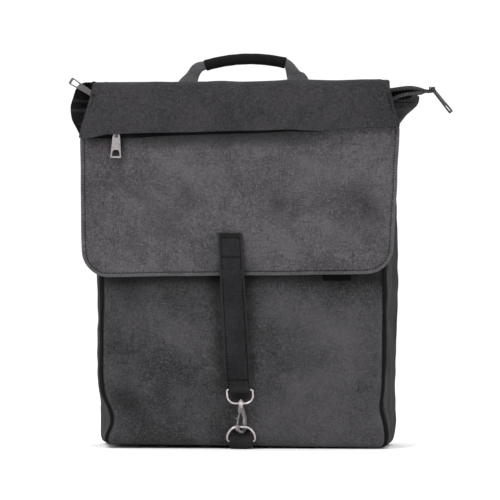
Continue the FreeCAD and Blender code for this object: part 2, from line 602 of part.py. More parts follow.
# ---- shoulder strap ----
def make_shoulder_tabs():
    """Webbing tabs on the upper back corners that hold the shoulder rings."""
    y, z = SHOULDER_AXIS
    half = WEBBING_WIDTH / 2 - 1.0
    low = z + TAB_ROLL_RADIUS - 3.2
    for name, side in (("left", -1), ("right", 1)):
        cx = side * SHOULDER_X
        x0, x1 = cx - half, cx + half
        tab = bar((x0, y, z), (x1, y, z), TAB_ROLL_RADIUS)
        tab = tab.fuse(block(x0, x1, BACK_Y, y, low, z + TAB_ROLL_RADIUS))
        tab = tab.fuse(block(x0, x1, BACK_Y, BACK_Y + 2.4, low, z + 13))
        hole = bar((x0 - 5, y, z), (x1 + 5, y, z), SHOULDER_ROD + 0.1)
        save(f"strap_tab_{name}", tab.cut(hole).removeSplitter())
        crown, shoulder = z - SHOULDER_RING_DROP, z - SHOULDER_RING_DROP + 12
        wide, narrow = SHOULDER_RING_HALF, SHOULDER_RING_HALF - 3
        outline = [(cx + wide, y, z), (cx + wide, y, shoulder), (cx + narrow, y, crown),
                   (cx - narrow, y, crown), (cx - wide, y, shoulder), (cx - wide, y, z)]
        ring = rounded_loop(outline, [2.6, 5.0, 3.0, 3.0, 5.0, 2.6])
        save(f"shoulder_ring_{name}", swept_rod(ring, SHOULDER_ROD))


def strap_curve():
    """Catenary of the hanging strap, evenly spaced along its length."""
    reach = CATENARY * math.sinh(SHOULDER_X / CATENARY)
    points = []
    for i in range(CURVE_STEPS + 1):
        x = CATENARY * math.asinh(reach * (2 * i / CURVE_STEPS - 1) / CATENARY)
        points.append((x, STRAP_LOW_Z + CATENARY * (math.cosh(x / CATENARY) - 1)))
    return points


def make_shoulder_strap():
    """Webbing hanging behind the bag, its folds round the rings and the length adjuster."""
    y, z = SHOULDER_AXIS
    curve = strap_curve()
    front = y - 3.5
    rear = front + WEBBING_WIDTH
    webbing = ribbon(curve, WEBBING_THICK, front, rear, plane="XZ")
    save("shoulder_webbing", webbing)
    top = curve[0][1]
    print(f"strap top {top:.1f}, webbing length {webbing.Volume / WEBBING_THICK / WEBBING_WIDTH:.0f}")
    half = WEBBING_WIDTH / 2 - 1.5
    crown = z - SHOULDER_RING_DROP
    for name, side in (("left", -1), ("right", 1)):
        cx = side * SHOULDER_X
        fold = bar((cx - half, y, crown), (cx + half, y, crown), TAB_ROLL_RADIUS - 0.2)
        doubled = block(cx - half, cx + half, y - WEBBING_THICK, y + WEBBING_THICK, top + 0.2, crown)
        fold = fold.fuse(doubled)
        hole = bar((cx - WEBBING_WIDTH, y, crown), (cx + WEBBING_WIDTH, y, crown), SHOULDER_ROD + 0.05)
        save(f"strap_fold_{name}", fold.cut(hole).removeSplitter())
    low, high = ADJUSTER_LOW_Z, ADJUSTER_LOW_Z + 26
    left, right = -SHOULDER_X - 8, -SHOULDER_X + 14
    rim, bar_room = 2.8, 8.5
    frame = block(left, right, front - rim, rear + rim, low, high)
    far = 2 * SHOULDER_X
    frame = frame.cut(block(-far, left + bar_room, -rim, far, 0, far * 2))
    frame = frame.cut(block(right - 7.5, 0, -rim, far, 0, far * 2))
    save("strap_adjuster", frame.cut(webbing))


make_body()
make_inside()
make_mouth()
make_wings()
make_flap()
make_flap_pocket()
make_label()
make_closure_strap()
make_snap_loop()
make_snap_hook()
make_ring()
make_flap_slider()
make_left_slider()
make_right_slider()
make_handle()
make_shoulder_tabs()
make_shoulder_strap()
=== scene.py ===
"""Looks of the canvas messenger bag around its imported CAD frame. Lengths are in millimetres unless said."""
import json
import math

import bpy
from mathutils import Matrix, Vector, noise


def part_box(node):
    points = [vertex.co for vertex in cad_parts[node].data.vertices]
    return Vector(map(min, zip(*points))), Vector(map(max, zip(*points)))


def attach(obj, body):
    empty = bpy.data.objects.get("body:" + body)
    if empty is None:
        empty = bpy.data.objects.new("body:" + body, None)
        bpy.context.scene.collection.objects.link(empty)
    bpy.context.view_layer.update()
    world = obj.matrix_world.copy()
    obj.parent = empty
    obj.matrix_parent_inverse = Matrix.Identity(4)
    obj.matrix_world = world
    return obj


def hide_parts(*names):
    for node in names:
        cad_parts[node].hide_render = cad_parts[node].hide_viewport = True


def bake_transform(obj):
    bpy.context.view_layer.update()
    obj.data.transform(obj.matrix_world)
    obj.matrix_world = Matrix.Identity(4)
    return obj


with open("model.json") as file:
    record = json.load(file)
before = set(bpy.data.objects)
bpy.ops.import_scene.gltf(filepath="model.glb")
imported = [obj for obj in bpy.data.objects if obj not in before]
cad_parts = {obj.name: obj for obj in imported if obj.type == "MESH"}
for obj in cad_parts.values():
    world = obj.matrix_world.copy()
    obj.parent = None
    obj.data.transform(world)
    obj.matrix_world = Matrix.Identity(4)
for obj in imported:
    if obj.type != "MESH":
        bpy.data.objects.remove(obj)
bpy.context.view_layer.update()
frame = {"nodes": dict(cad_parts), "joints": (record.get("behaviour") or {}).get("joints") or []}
MM = 0.001


# ---- node-based materials ----
class Graph:
    """Short names for building one material's node tree."""

    def __init__(self, tree):
        self.nodes, self.links = tree.nodes, tree.links

    def feed(self, value, socket):
        """Link a socket, or set a number or colour on it."""
        if isinstance(value, (int, float)):
            socket.default_value = value
        elif isinstance(value, tuple):
            socket.default_value = (*value, 1.0)
        else:
            self.links.new(value, socket)

    def math(self, kind, a, b=None):
        """One math operation on one or two values."""
        node = self.nodes.new("ShaderNodeMath")
        node.operation = kind
        self.feed(a, node.inputs[0])
        if b is not None:
            self.feed(b, node.inputs[1])
        return node.outputs[0]

    def times(self, a, b):
        """Product of two values."""
        return self.math("MULTIPLY", a, b)

    def plus(self, a, b):
        """Sum of two values."""
        return self.math("ADD", a, b)

    def noise(self, vector, period_mm, detail=2.0, rough=0.5, stretch=(1, 1, 1)):
        """Noise with a feature size in millimetres on coordinates in metres."""
        mapping = self.nodes.new("ShaderNodeMapping")
        mapping.inputs["Scale"].default_value = stretch
        self.links.new(vector, mapping.inputs["Vector"])
        tex = self.nodes.new("ShaderNodeTexNoise")
        tex.inputs["Scale"].default_value = 1000.0 / period_mm
        tex.inputs["Detail"].default_value = detail
        tex.inputs["Roughness"].default_value = rough
        self.links.new(mapping.outputs[0], tex.inputs["Vector"])
        return tex.outputs["Fac"]

    def mix(self, factor, a, b):
        """Colour between two colours or sockets."""
        node = self.nodes.new("ShaderNodeMix")
        node.data_type = "RGBA"
        node.clamp_factor = True
        self.feed(factor, node.inputs[0])
        self.feed(a, node.inputs[6])
        self.feed(b, node.inputs[7])
        return node.outputs[2]

    def ramp(self, factor, low, high):
        """Stretch a factor between two values to 0..1."""
        node = self.nodes.new("ShaderNodeMapRange")
        node.interpolation_type = "SMOOTHSTEP"
        node.inputs["From Min"].default_value = low
        node.inputs["From Max"].default_value = high
        self.links.new(factor, node.inputs["Value"])
        return node.outputs[0]

    def bump(self, height, strength, distance, under=None):
        """Relief, on top of another relief if one is given."""
        node = self.nodes.new("ShaderNodeBump")
        node.inputs["Strength"].default_value = strength
        node.inputs["Distance"].default_value = distance
        self.links.new(height, node.inputs["Height"])
        if under:
            self.links.new(under, node.inputs["Normal"])
        return node.outputs[0]

    def attribute(self, name):
        """Mesh attribute node."""
        node = self.nodes.new("ShaderNodeAttribute")
        node.attribute_name = name
        return node


def new_material(name, roughness, metallic=0.0, specular=0.4, sheen=0.0):
    """Principled material with its graph and shader."""
    material = bpy.data.materials.new(name)
    material.use_nodes = True
    shader = material.node_tree.nodes["Principled BSDF"]
    shader.inputs["Roughness"].default_value = roughness
    shader.inputs["Metallic"].default_value = metallic
    shader.inputs["Specular IOR Level"].default_value = specular
    shader.inputs["Sheen Weight"].default_value = sheen
    shader.inputs["Sheen Roughness"].default_value = 0.5
    return material, Graph(material.node_tree), shader


UPRIGHT = (1.0, 1.0, 0.22)       # noise stretched along the warp
LEVEL = (0.22, 1.0, 1.0)         # noise stretched along the weft
RUB_AND_LIGHT_SHARE = 0.6                     # how far wear and painted light take the cloth to its pale colour


def cloth(name, colour, light, dark, period=0.9, patches=0.5, fleck=0.5, creases=0.4, sheen=0.02,
          roughness=0.9, bump=0.35, ribs=False, gloss=0.06):
    """Woven cloth: warp and weft relief, mottled patches, flecks and pale rubbed creases, with worn edges and
    painted shade and light read from a mesh attribute.
    """
    material, g, shader = new_material(name, roughness, sheen=sheen, specular=gloss)
    uv = g.nodes.new("ShaderNodeUVMap")
    uv.uv_map = "weave"
    place = g.attribute("rest").outputs["Vector"]
    wear_and_painted_light = g.attribute("wear_and_painted_light").outputs["Fac"]
    split = g.nodes.new("ShaderNodeSeparateXYZ")
    g.links.new(uv.outputs[0], split.inputs[0])
    turns = 2 * math.pi / (period * MM)
    warp = g.math("SINE", g.times(split.outputs[0], turns))
    weft = g.math("SINE", g.times(split.outputs[1], turns))
    weave = warp if ribs else g.times(warp, weft)
    big = g.noise(place, 70, 4.0, 0.6)
    mid = g.noise(place, 16, 4.0, 0.65)
    fine = g.noise(place, 2.2, 3.0, 0.75)
    patch = g.plus(g.times(big, 0.72), g.times(mid, 0.28))
    tone = g.mix(g.times(g.ramp(patch, 0.40, 0.60), patches), colour, light)
    tone = g.mix(g.times(g.ramp(fine, 0.45, 0.72), fleck), tone, light)
    for stretch in (UPRIGHT, LEVEL):
        thread = g.noise(place, 1.3, 2.0, 0.6, stretch)
        tone = g.mix(g.times(g.ramp(thread, 0.5, 0.78), fleck * 0.8), tone, dark)
    line = g.noise(place, 46, 5.0, 0.55, (1.0, 1.0, 0.75))
    ridge = g.math("ABSOLUTE", g.math("SUBTRACT", line, 0.5))
    rub = g.times(g.ramp(ridge, 0.016, 0.0), g.times(g.ramp(mid, 0.5, 0.62), creases))
    tone = g.mix(rub, tone, light)
    # The mesh attribute lightens the cloth where positive (worn edges and painted light) and darkens it where
    # negative (painted shade, and dark lines at seams and stitch bars).
    tone = g.mix(g.times(wear_and_painted_light, RUB_AND_LIGHT_SHARE), tone, light)
    tone = g.mix(g.math("MAXIMUM", g.times(wear_and_painted_light, -1.0), 0.0), tone, dark)
    g.links.new(tone, shader.inputs["Base Color"])
    threads = g.bump(g.plus(g.times(weave, 0.5), g.times(fine, 0.8)), bump, 0.0004)
    g.links.new(g.bump(g.plus(mid, g.times(rub, -0.3)), 0.35, 0.003, threads), shader.inputs["Normal"])
    return material


def metal(name, colour, roughness, tarnish):
    """Plated metal with tarnished hollows and fine scratches."""
    material, g, shader = new_material(name, roughness, metallic=1.0)
    place = g.nodes.new("ShaderNodeTexCoord").outputs["Object"]
    stain = g.noise(place, 4.0, 4.0, 0.6)
    scratch = g.noise(place, 0.8, 2.0, 0.6, (1.0, 1.0, 0.1))
    dark = tuple(c * 0.45 for c in colour)
    g.links.new(g.mix(g.times(g.ramp(stain, 0.45, 0.75), tarnish), colour, dark), shader.inputs["Base Color"])
    g.links.new(g.plus(g.times(stain, 0.25), roughness - 0.12), shader.inputs["Roughness"])
    g.links.new(g.bump(scratch, 0.12, 0.0002), shader.inputs["Normal"])
    return material


def plastic(name, colour, roughness):
    """Moulded plastic with a fine spark-eroded grain."""
    material, g, shader = new_material(name, roughness)
    grain = g.noise(g.nodes.new("ShaderNodeTexCoord").outputs["Object"], 0.5, 2.0, 0.6)
    g.links.new(g.mix(g.times(grain, 0.5), colour, tuple(c * 1.6 for c in colour)),
                shader.inputs["Base Color"])
    g.links.new(g.bump(grain, 0.2, 0.0001), shader.inputs["Normal"])
    return material


CANVAS = cloth("flap_canvas", (0.0416, 0.0396, 0.042), (0.108, 0.1024, 0.1088), (0.0128, 0.0124, 0.0132),
               patches=0.42, fleck=0.8)
BODY = cloth("body_canvas", (0.0244, 0.0234, 0.0248), (0.0739, 0.0706, 0.0746), (0.0066, 0.0065, 0.0069),
             patches=0.42, fleck=0.8)
DARK = cloth("band_canvas", (0.0204, 0.0194, 0.0211), (0.0503, 0.0476, 0.051), (0.0068, 0.0066, 0.0071),
             patches=0.35, fleck=0.8,
             creases=0.15)
GUSSET = cloth("gusset_canvas", (0.0185, 0.0178, 0.0190), (0.0520, 0.0498, 0.0530),
               (0.0040, 0.0040, 0.0044), patches=0.4,
               creases=0.2)
STRAP = cloth("strap_webbing", (0.01, 0.0096, 0.0104), (0.0272, 0.0256, 0.028), (0.004, 0.004, 0.0044),
              period=1.3,
              patches=0.4, creases=0.1, bump=0.5)
LEG = cloth("leg_webbing", (0.0788, 0.0756, 0.0798), (0.1418, 0.1365, 0.1439), (0.0315, 0.0305, 0.0326),
            period=1.2, patches=0.4,
            creases=0.1)
GRIP = cloth("grip_wrap", (0.0062, 0.006, 0.0062), (0.014, 0.0135, 0.014), (0.003, 0.003, 0.003), patches=0.2,
             creases=0.1, roughness=0.7, bump=0.15, sheen=0.0)
LINING = cloth("lining_cloth", (0.008, 0.008, 0.009), (0.018, 0.018, 0.020), (0.004, 0.004, 0.004),
               period=0.6,
               roughness=0.75, sheen=0.0, gloss=0.0)
# Painted shade: the left wing gets this near-black copy of the canvas, as it stands in shadow.
WING_CANVAS_SHADED = cloth("wing_canvas_painted_shade", (0.0036, 0.0036, 0.0039), (0.027, 0.0258, 0.0276), (0.0018, 0.0018, 0.0018),
              patches=0.3, fleck=0.3,
              creases=0.2, sheen=0.0, gloss=0.0)
TAPE = cloth("zip_tape_cloth", (0.004, 0.004, 0.0045), (0.010, 0.010, 0.011), (0.002, 0.002, 0.002),
             period=1.0,
             creases=0.0, bump=0.5, ribs=True, sheen=0.0, gloss=0.0)
LABEL = cloth("label_satin", (0.0025, 0.0025, 0.0025), (0.006, 0.006, 0.006), (0.001, 0.001, 0.001),
              period=0.5,
              roughness=0.5, creases=0.0, sheen=0.0, gloss=0.0)
THREAD = cloth("thread", (0.002, 0.002, 0.002), (0.006, 0.006, 0.006), (0.001, 0.001, 0.001), period=0.6,
               patches=0.2,
               creases=0.0, sheen=0.0, gloss=0.0)
NICKEL = metal("satin_nickel", (0.50, 0.455, 0.45), 0.34, 0.75)
HOOK = metal("worn_nickel", (0.30, 0.275, 0.28), 0.36, 0.8)
# Painted shade: darker copies of the same nickel for hardware that faces away from the light.
NICKEL_SHADED = metal("nickel_painted_shade", (0.115, 0.107, 0.108), 0.42, 0.6)
NICKEL_DEEP_SHADED = metal("nickel_painted_deep_shade", (0.045, 0.042, 0.043), 0.42, 0.5)
PALE = metal("pale_nickel", (0.30, 0.275, 0.28), 0.40, 0.8)
ACETAL = plastic("black_acetal", (0.006, 0.006, 0.0065), 0.45)
BOARD = plastic("stiffener", (0.02, 0.02, 0.02), 0.6)
COIL = plastic("zip_nylon", (0.007, 0.007, 0.0075), 0.4)


# ---- cloth thicknesses, and which side of the drawn surface they lie on ----
WALL_THICK, COLLAR_THICK, BAND_THICK, ROOF_THICK, STRAP_THICK = 2.6, 4.0, 2.2, 2.4, 2.8
PLY_THICK, TAPE_THICK, LINER_THICK, HEAVY_PLY, WEB_THICK, FOLD_THICK = 1.2, 0.7, 0.8, 1.8, 2.0, 1.6
INSIDE, CENTRED, OUTSIDE = -1.0, 0.0, 1.0


# ---- mesh helpers ----
def smooth(low, high, x):
    """Smooth step, which may also run downwards."""
    t = max(0.0, min(1.0, (x - low) / (high - low)))
    return t * t * (3 - 2 * t)


def wobble(a, b, size, seed):
    """Smooth noise between about -1 and 1 with features of a size."""
    return noise.noise(Vector((a / size + seed * 3.1, b / size - seed * 1.7, seed * 0.37)))


def crease(x, z, start, end, width):
    """Bell-shaped ridge along a segment, 1 on it and fading at its ends."""
    ax, az = start
    dx, dz = end[0] - ax, end[1] - az
    along = ((x - ax) * dx + (z - az) * dz) / (dx * dx + dz * dz)
    t = max(0.0, min(1.0, along))
    off = math.hypot(x - ax - dx * t, z - az - dz * t)
    return math.exp(-(off / width) ** 2) * math.sin(math.pi * max(0.02, min(0.98, t)))


def bake(obj):
    """Apply every modifier of an object."""
    graph = bpy.context.evaluated_depsgraph_get()
    mesh = bpy.data.meshes.new_from_object(obj.evaluated_get(graph))
    obj.modifiers.clear()
    obj.data = mesh


def keep_rest(mesh):
    """Rest coordinates for the materials, and smooth shading."""
    rest = mesh.attributes.new("rest", "FLOAT_VECTOR", "POINT")
    rest.data.foreach_set("vector", [c for v in mesh.vertices for c in v.co])
    mesh.polygons.foreach_set("use_smooth", [True] * len(mesh.polygons))
    mesh.update()


def folds(x, z, table):
    """Sum of creases; a row is strength, start, end and width."""
    return sum(strength * crease(x, z, start, end, width) for strength, start, end, width in table)


def bell(x, middle, width, power=2):
    """Bump of height 1 round a middle."""
    return math.exp(-((x - middle) / width) ** power)


def bulged(value, power):
    """Power that keeps the sign, for superelliptic sections."""
    return math.copysign(abs(value) ** power, value)


def capped_rings(base, rings, ring):
    """Quads between rings of points that start at an index, and a cap at each end."""
    faces = []
    for i in range(rings - 1):
        low, high = base + i * ring, base + (i + 1) * ring
        for k in range(ring):
            m = (k + 1) % ring
            faces.append((low + k, low + m, high + m, high + k))
    last = base + (rings - 1) * ring
    faces.append(tuple(range(base, base + ring))[::-1])
    faces.append(tuple(range(last, last + ring)))
    return faces


def finish_mesh(obj, material, inner=None, thick=0.0, offset=INSIDE):
    """Thickness, rest coordinates, smooth shading and materials, all applied."""
    obj.data.materials.append(material)
    if inner:
        obj.data.materials.append(inner)
    if thick:
        solid = obj.modifiers.new("thick", "SOLIDIFY")
        solid.thickness = thick * MM
        solid.offset = offset
        solid.use_even_offset = False
        solid.material_offset = 1 if inner else 0
        bake(obj)
    keep_rest(obj.data)
    return obj


def mesh_object(name, points, faces, uvs=None, wear_and_painted_light=None):
    """Mesh from points in millimetres; uvs in metres per point."""
    mesh = bpy.data.meshes.new(name)
    mesh.from_pydata([(x * MM, y * MM, z * MM) for x, y, z in points], [], faces)
    layer = mesh.uv_layers.new(name="weave")
    if uvs:
        for loop in mesh.loops:
            layer.data[loop.index].uv = uvs[loop.vertex_index]
    values = mesh.attributes.new("wear_and_painted_light", "FLOAT", "POINT")
    values.data.foreach_set("value", wear_and_painted_light or [0.0] * len(points))
    obj = bpy.data.objects.new(name, mesh)
    bpy.context.scene.collection.objects.link(obj)
    return obj


def grid(name, rows, closed=False, wear_and_painted_light=None):
    """Quads through rows of points that run down the outside, each row from left to right."""
    count = len(rows[0])
    points = [p for row in rows for p in row]
    middle = rows[len(rows) // 2]
    across, down = [0.0], [0.0]
    for a, b in zip(middle, middle[1:]):
        across.append(across[-1] + math.dist(a, b) * MM)
    for a, b in zip(rows, rows[1:]):
        down.append(down[-1] + math.dist(a[count // 2], b[count // 2]) * MM)
    uvs = [(across[j], -down[i]) for i in range(len(rows)) for j in range(count)]
    faces = []
    for i in range(len(rows) - 1):
        for j in range(count if closed else count - 1):
            k = (j + 1) % count
            faces.append((i * count + j, (i + 1) * count + j, (i + 1) * count + k, i * count + k))
    flat = [w for row in wear_and_painted_light for w in row] if wear_and_painted_light else None
    return mesh_object(name, points, faces, uvs, flat)


def tube(name, stations, across, ring):
    """Closed superelliptic tube; a station is centre, half width, half depth and two directions."""
    points, uvs = [], []
    length = 0.0
    for i, (centre, half_w, half_d, wide, deep) in enumerate(stations):
        if i:
            length += (Vector(centre) - Vector(stations[i - 1][0])).length * MM
        for j in range(ring):
            a = 2 * math.pi * j / ring
            ca, sa = math.cos(a), math.sin(a)
            u = bulged(ca, across) * half_w
            v = bulged(sa, across) * half_d
            points.append(tuple(Vector(centre) + Vector(wide) * u + Vector(deep) * v))
            uvs.append((u * MM + (half_d * MM if sa < 0 else 0), length))
    return mesh_object(name, points, capped_rings(0, len(stations), ring), uvs)


def resample(points, spacing):
    """Points at even spacing along a polyline, with their directions."""
    out, left = [], spacing / 2
    for a, b in zip(points, points[1:]):
        a, b = Vector(a), Vector(b)
        run = (b - a).length
        if run < 1e-9:
            continue
        d = (b - a) / run
        while left <= run:
            out.append((a + d * left, d))
            left += spacing
        left -= run
    return out


STITCH_SPACING, STITCH_LENGTH, STITCH_RADIUS, STITCH_LIFT, STITCH_RING = 3.3, 2.0, 0.46, 0.12, 6
STITCH_SHAPE = ((-0.5, 0.15, -0.35), (-0.3, 0.85, 0.0), (0.3, 0.85, 0.0), (0.5, 0.15, -0.35))
FRONT, BACK, UP = (0, -1, 0), (0, 1, 0), (0, 0, 1)


def stitches(name, rows, lift=STITCH_LIFT):
    """One mesh of plump stitches; a row is a path and the way it faces."""
    points, faces = [], []
    for path, facing in rows:
        out = Vector(facing).normalized()
        for centre, d in resample(path, STITCH_SPACING):
            side = d.cross(out).normalized()
            up = side.cross(d).normalized()
            base = len(points)
            for along, size, rise in STITCH_SHAPE:
                for k in range(STITCH_RING):
                    a = 2 * math.pi * k / STITCH_RING
                    across = math.cos(a) * STITCH_RADIUS * size * 1.15
                    high = math.sin(a) * STITCH_RADIUS * size + lift + rise * STITCH_RADIUS
                    points.append(tuple(centre + d * (along * STITCH_LENGTH) + side * across + up * high))
            faces += capped_rings(base, len(STITCH_SHAPE), STITCH_RING)
    obj = mesh_object(name, points, faces, [(p[0] * MM, p[2] * MM) for p in points])
    return finish_mesh(obj, THREAD)


def spread(low, high, count):
    """Even numbers from low to high."""
    return [low + (high - low) * i / (count - 1) for i in range(count)]


def paint(node, material):
    """Material for a CAD node that stays."""
    slots = frame["nodes"][node].data.materials
    slots.clear()
    slots.append(material)


# ---- body shell ----
HEIGHT = 385.0
FRONT_FLOOR_Y, FRONT_MOUTH_Y, REAR_Y = -60.0, -42.0, 55.0
FRONT_HALF, REAR_HALF, REAR_HALF_MOUTH = 154.0, 166.0, 160.0


CORNER_RADII = [5.0, 5.0, 14.0, 14.0]     # front left, front right, rear right, rear left
SIDE_COUNTS = [78, 34, 44, 34]            # points along the front, right, back and left
CORNER_COUNT = 6
FRONT_WIDTH, BACK_WIDTH = 300, 320        # rounded widths, to turn a share into millimetres


def seam_x(side, z):
    """Front seam: pinched in at the left foot, pushed out at the right foot."""
    if side < 0:
        return -FRONT_HALF - 5.0 + 12.0 * bell(z, 30, 24) - 1.2 * wobble(z, 0, 40, 3)
    return FRONT_HALF + 7.0 + 3.0 * smooth(70, 10, z) + 1.5 * wobble(z, 5, 45, 4) - 3 * bell(z, 45, 14)


def outline(z):
    """Plan of the bag at a height: x, y, the side, a share along that side and the outward way."""
    share = z / HEIGHT
    yf = FRONT_FLOOR_Y + (FRONT_MOUTH_Y - FRONT_FLOOR_Y) * share
    rear = REAR_HALF + (REAR_HALF_MOUTH - REAR_HALF) * smooth(220, HEIGHT, z)
    left, right = seam_x(-1, z), seam_x(1, z)
    corners = [(left, yf), (right, yf), (rear + 2.5 * smooth(HEIGHT, 260, z), REAR_Y), (-rear, REAR_Y)]
    out = []
    for k in range(4):
        a, b = Vector(corners[k]), Vector(corners[(k + 1) % 4])
        d = (b - a).normalized()
        n = Vector((d.y, -d.x))
        ra, rb = CORNER_RADII[k], CORNER_RADII[(k + 1) % 4]
        run = (b - a).length
        for i in range(SIDE_COUNTS[k] + 1):
            s = i / SIDE_COUNTS[k]
            p = a + d * (ra + (run - ra - rb) * s)
            out.append((p.x, p.y, k, s, n))
        e = (Vector(corners[(k + 2) % 4]) - b).normalized()
        m = Vector((e.y, -e.x))
        centre = b - d * rb - n * rb
        for i in range(1, CORNER_COUNT):
            t = i / CORNER_COUNT
            w = (n * (1 - t) + m * t).normalized()
            p = centre + w * rb
            out.append((p.x, p.y, k + 0.5, t, w))
    return out


def strap_x(z):
    """Centre of the slanting strap."""
    return -12.4 + 9.8 * (238.0 - z) / 172.0


FRONT_FOLDS = [(-2.6, (-150, 62), (-98, 22), 7), (1.8, (-148, 40), (-110, 8), 6),
               (-2.0, (152, 80), (118, 30), 8),
               (-1.4, (-140, 190), (-80, 120), 9), (-1.3, (140, 180), (70, 120), 10)]
# Painted shade along the front's creases.
FRONT_PAINTED_SHADE = [(0.5, (-146, 70), (-96, 18), 13), (0.4, (150, 92), (112, 26), 14),
              (0.35, (30, 150), (48, 40), 16),
              (0.35, (-140, 196), (-84, 116), 14)]
# Painted light on the front's crease ridges.
FRONT_PAINTED_LIGHT = [(0.6, (-128, 170), (-40, 96), 17), (0.5, (60, 150), (132, 112), 15),
              (0.4, (-130, 40), (-60, 28), 10),
              (0.4, (50, 60), (110, 88), 13)]


def body_swell(x, y, z, side, s):
    """How far the cloth stands out from the plain wedge."""
    full = smooth(0, 70, z) * smooth(HEIGHT + 5, 250, z)
    foot = smooth(90, 10, z)
    if side == 0:
        d = 5.0 * math.sin(math.pi * s) ** 0.8 * full
        d += 1.5 * wobble(x, z, 62, 1) + 0.7 * wobble(x, z, 24, 2) + 0.3 * wobble(x, z, 10, 5)
        d += foot * 1.6 * wobble(x, z, 20, 6) * (1 + abs(2 * s - 1))
        d += folds(x, z, FRONT_FOLDS)
        d -= 2.2 * (bell(s * FRONT_WIDTH, 0, 4.0) + bell((1 - s) * FRONT_WIDTH, 0, 4.0))
        return d
    if side in (1, 3):
        t = s if side == 1 else 1 - s
        d = -5.0 * math.sin(math.pi * t) * smooth(40, 160, z)
        d += 4.5 * math.sin(math.pi * min(1, z / HEIGHT)) * t
        d += 2.6 * wobble(y, z * 0.35, 26, 8 + side) + 1.1 * wobble(y, z, 17, 12 + side)
        d += foot * 2.4 * wobble(y, z, 22, 15 + side)
        return d
    if side == 2:
        edge = min(s, 1 - s) * BACK_WIDTH
        return 2.4 * smooth(0, 40, edge) * full + 0.7 * wobble(x, z, 50, 20) + 0.35 * wobble(x, z, 18, 21)
    return 0.9 * wobble(x + y, z, 14, 25) - 0.5


def foot_lift(x, y):
    """How far the bag's soft lower front edge stands off the floor, more at the left."""
    return smooth(52, -20, y) * (2.3 - 0.011 * x)


def body_point(entry, z, inset=0.0):
    """Outer surface of the shell; the inset draws a level in towards the middle to round the foot."""
    x, y, side, s, n = entry
    push = body_swell(x, y, max(z, 8.0), side, s) * smooth(0, 26, z)
    middle_y, half_depth = (FRONT_FLOOR_Y + REAR_Y) / 2, (REAR_Y - FRONT_FLOOR_Y) / 2
    drawn_x = (x + n.x * push) * (1 - inset / REAR_HALF)
    drawn_y = middle_y + (y + n.y * push - middle_y) * (1 - inset / half_depth)
    return (drawn_x, drawn_y, z + foot_lift(x, y) * smooth(60, 0, z))


def front_marks(x, z):
    """Painted shade and light on the front panel: shade along its creases, under the flap's hem, beside the
    strap, inside the strap's loop, behind the hanging hook and between the ring's bar and its tab; light on
    the crease ridges; the right side lighter and the left darker.
    """
    beside = x - strap_x(z)
    # Painted shade along the creases.
    dark = folds(x, z, FRONT_PAINTED_SHADE)
    # Painted shadow under the flap's hem: darkest just at the hem, fading downwards, with a lighter darkening
    # left under the flap.
    dark += 0.3 * smooth(150, 190, z) + 0.34 * smooth(178, 190, z) * smooth(214, 196, z)
    # Painted shadow beside the strap.
    strap_shade = 0.4 * bell(beside, -19, 8) + 0.25 * bell(beside, 18, 6)
    dark += strap_shade * smooth(56, 74, z) * smooth(212, 190, z)
    # Painted shadow between the ring's bar and its tab, and inside the strap's loop.
    dark += 1.6 * bell(x, 0, 13, 4) * bell(z, 17.5, 3.4, 4) + 0.8 * bell(x, 0, 12) * bell(z, 58, 6)
    # Painted shade behind the hanging hook, between the loop and the ring.
    dark += 0.3 * bell(x, 0, 17, 4) * smooth(70, 62, z) * smooth(20, 48, z)
    # Painted light on the crease ridges, and on the right side below the flap.
    pale = folds(x, z, FRONT_PAINTED_LIGHT) + 0.32 * smooth(-20, 40, x) * smooth(185, 150, z)
    # The left side is painted darker.
    return pale - 0.12 * smooth(0, -60, x) - dark


def shell_wear_and_painted_light(entry, z):
    """Wear and painted light of the shell: painted shade and light and rubbed seams on the front, and black
    lines at its two corners.
    """
    x, y, side, s, n = entry
    if side == 0:
        seam = bell(min(s, 1 - s) * FRONT_WIDTH, 0, 3.0) * (0.6 + 0.4 * wobble(z, x, 12, 2))
        return front_marks(x, z) + 0.55 * seam
    return -1.0 if side in (0.5, 3.5) else 0.0


levels = [0.2, 0.6, 1.8, 4.0, 7.0, 10.5] + spread(14.5, HEIGHT, 98)
insets = [10.0, 6.8, 4.0, 2.1, 0.9, 0.3]
plan_rows, wear_and_painted_light = [], []
for index, z in list(enumerate(levels))[::-1]:
    inset = insets[index] if index < len(insets) else 0.0
    plan = outline(z)
    plan_rows.append([body_point(e, z, inset) for e in plan])
    wear_and_painted_light.append([shell_wear_and_painted_light(e, z) for e in plan])
count = len(plan_rows[0])
sides = [e[2] for e in outline(100.0)]
shell = grid("bag_shell", plan_rows, closed=True, wear_and_painted_light=wear_and_painted_light)
mesh = shell.data
mesh.materials.append(BODY)
mesh.materials.append(GUSSET)
for face in mesh.polygons:
    j = face.vertices[0] % count
    face.material_index = 0 if sides[j] in (0, 2) else 1
solid = shell.modifiers.new("thick", "SOLIDIFY")
solid.thickness = WALL_THICK * MM
solid.offset = INSIDE
solid.use_even_offset = False
mesh.materials.append(LINING)
mesh.materials.append(LINING)
solid.material_offset = 2
solid.material_offset_rim = 1
bake(shell)
keep_rest(shell.data)
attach(shell, "bag")
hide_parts("front_panel", "back_panel", "gusset_left", "gusset_right")

base_rows = []
foot = [body_point(e, 0.4, 7.0) for e in outline(0.4)]
for k in spread(0.0, 1.0, 12):
    row = [(x * (1 - k), -2 + (y + 2) * (1 - k)) for x, y, z in foot]
    base_rows.append([(x, y, 0.4 + 0.9 * smooth(0, 0.15, k) + foot_lift(x, y)) for x, y in row])
base_rows = base_rows[::-1]
base = grid("base_cloth", base_rows, closed=True)
finish_mesh(base, GUSSET, thick=PLY_THICK, offset=OUTSIDE)
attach(base, "bag")
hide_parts("base_panel")

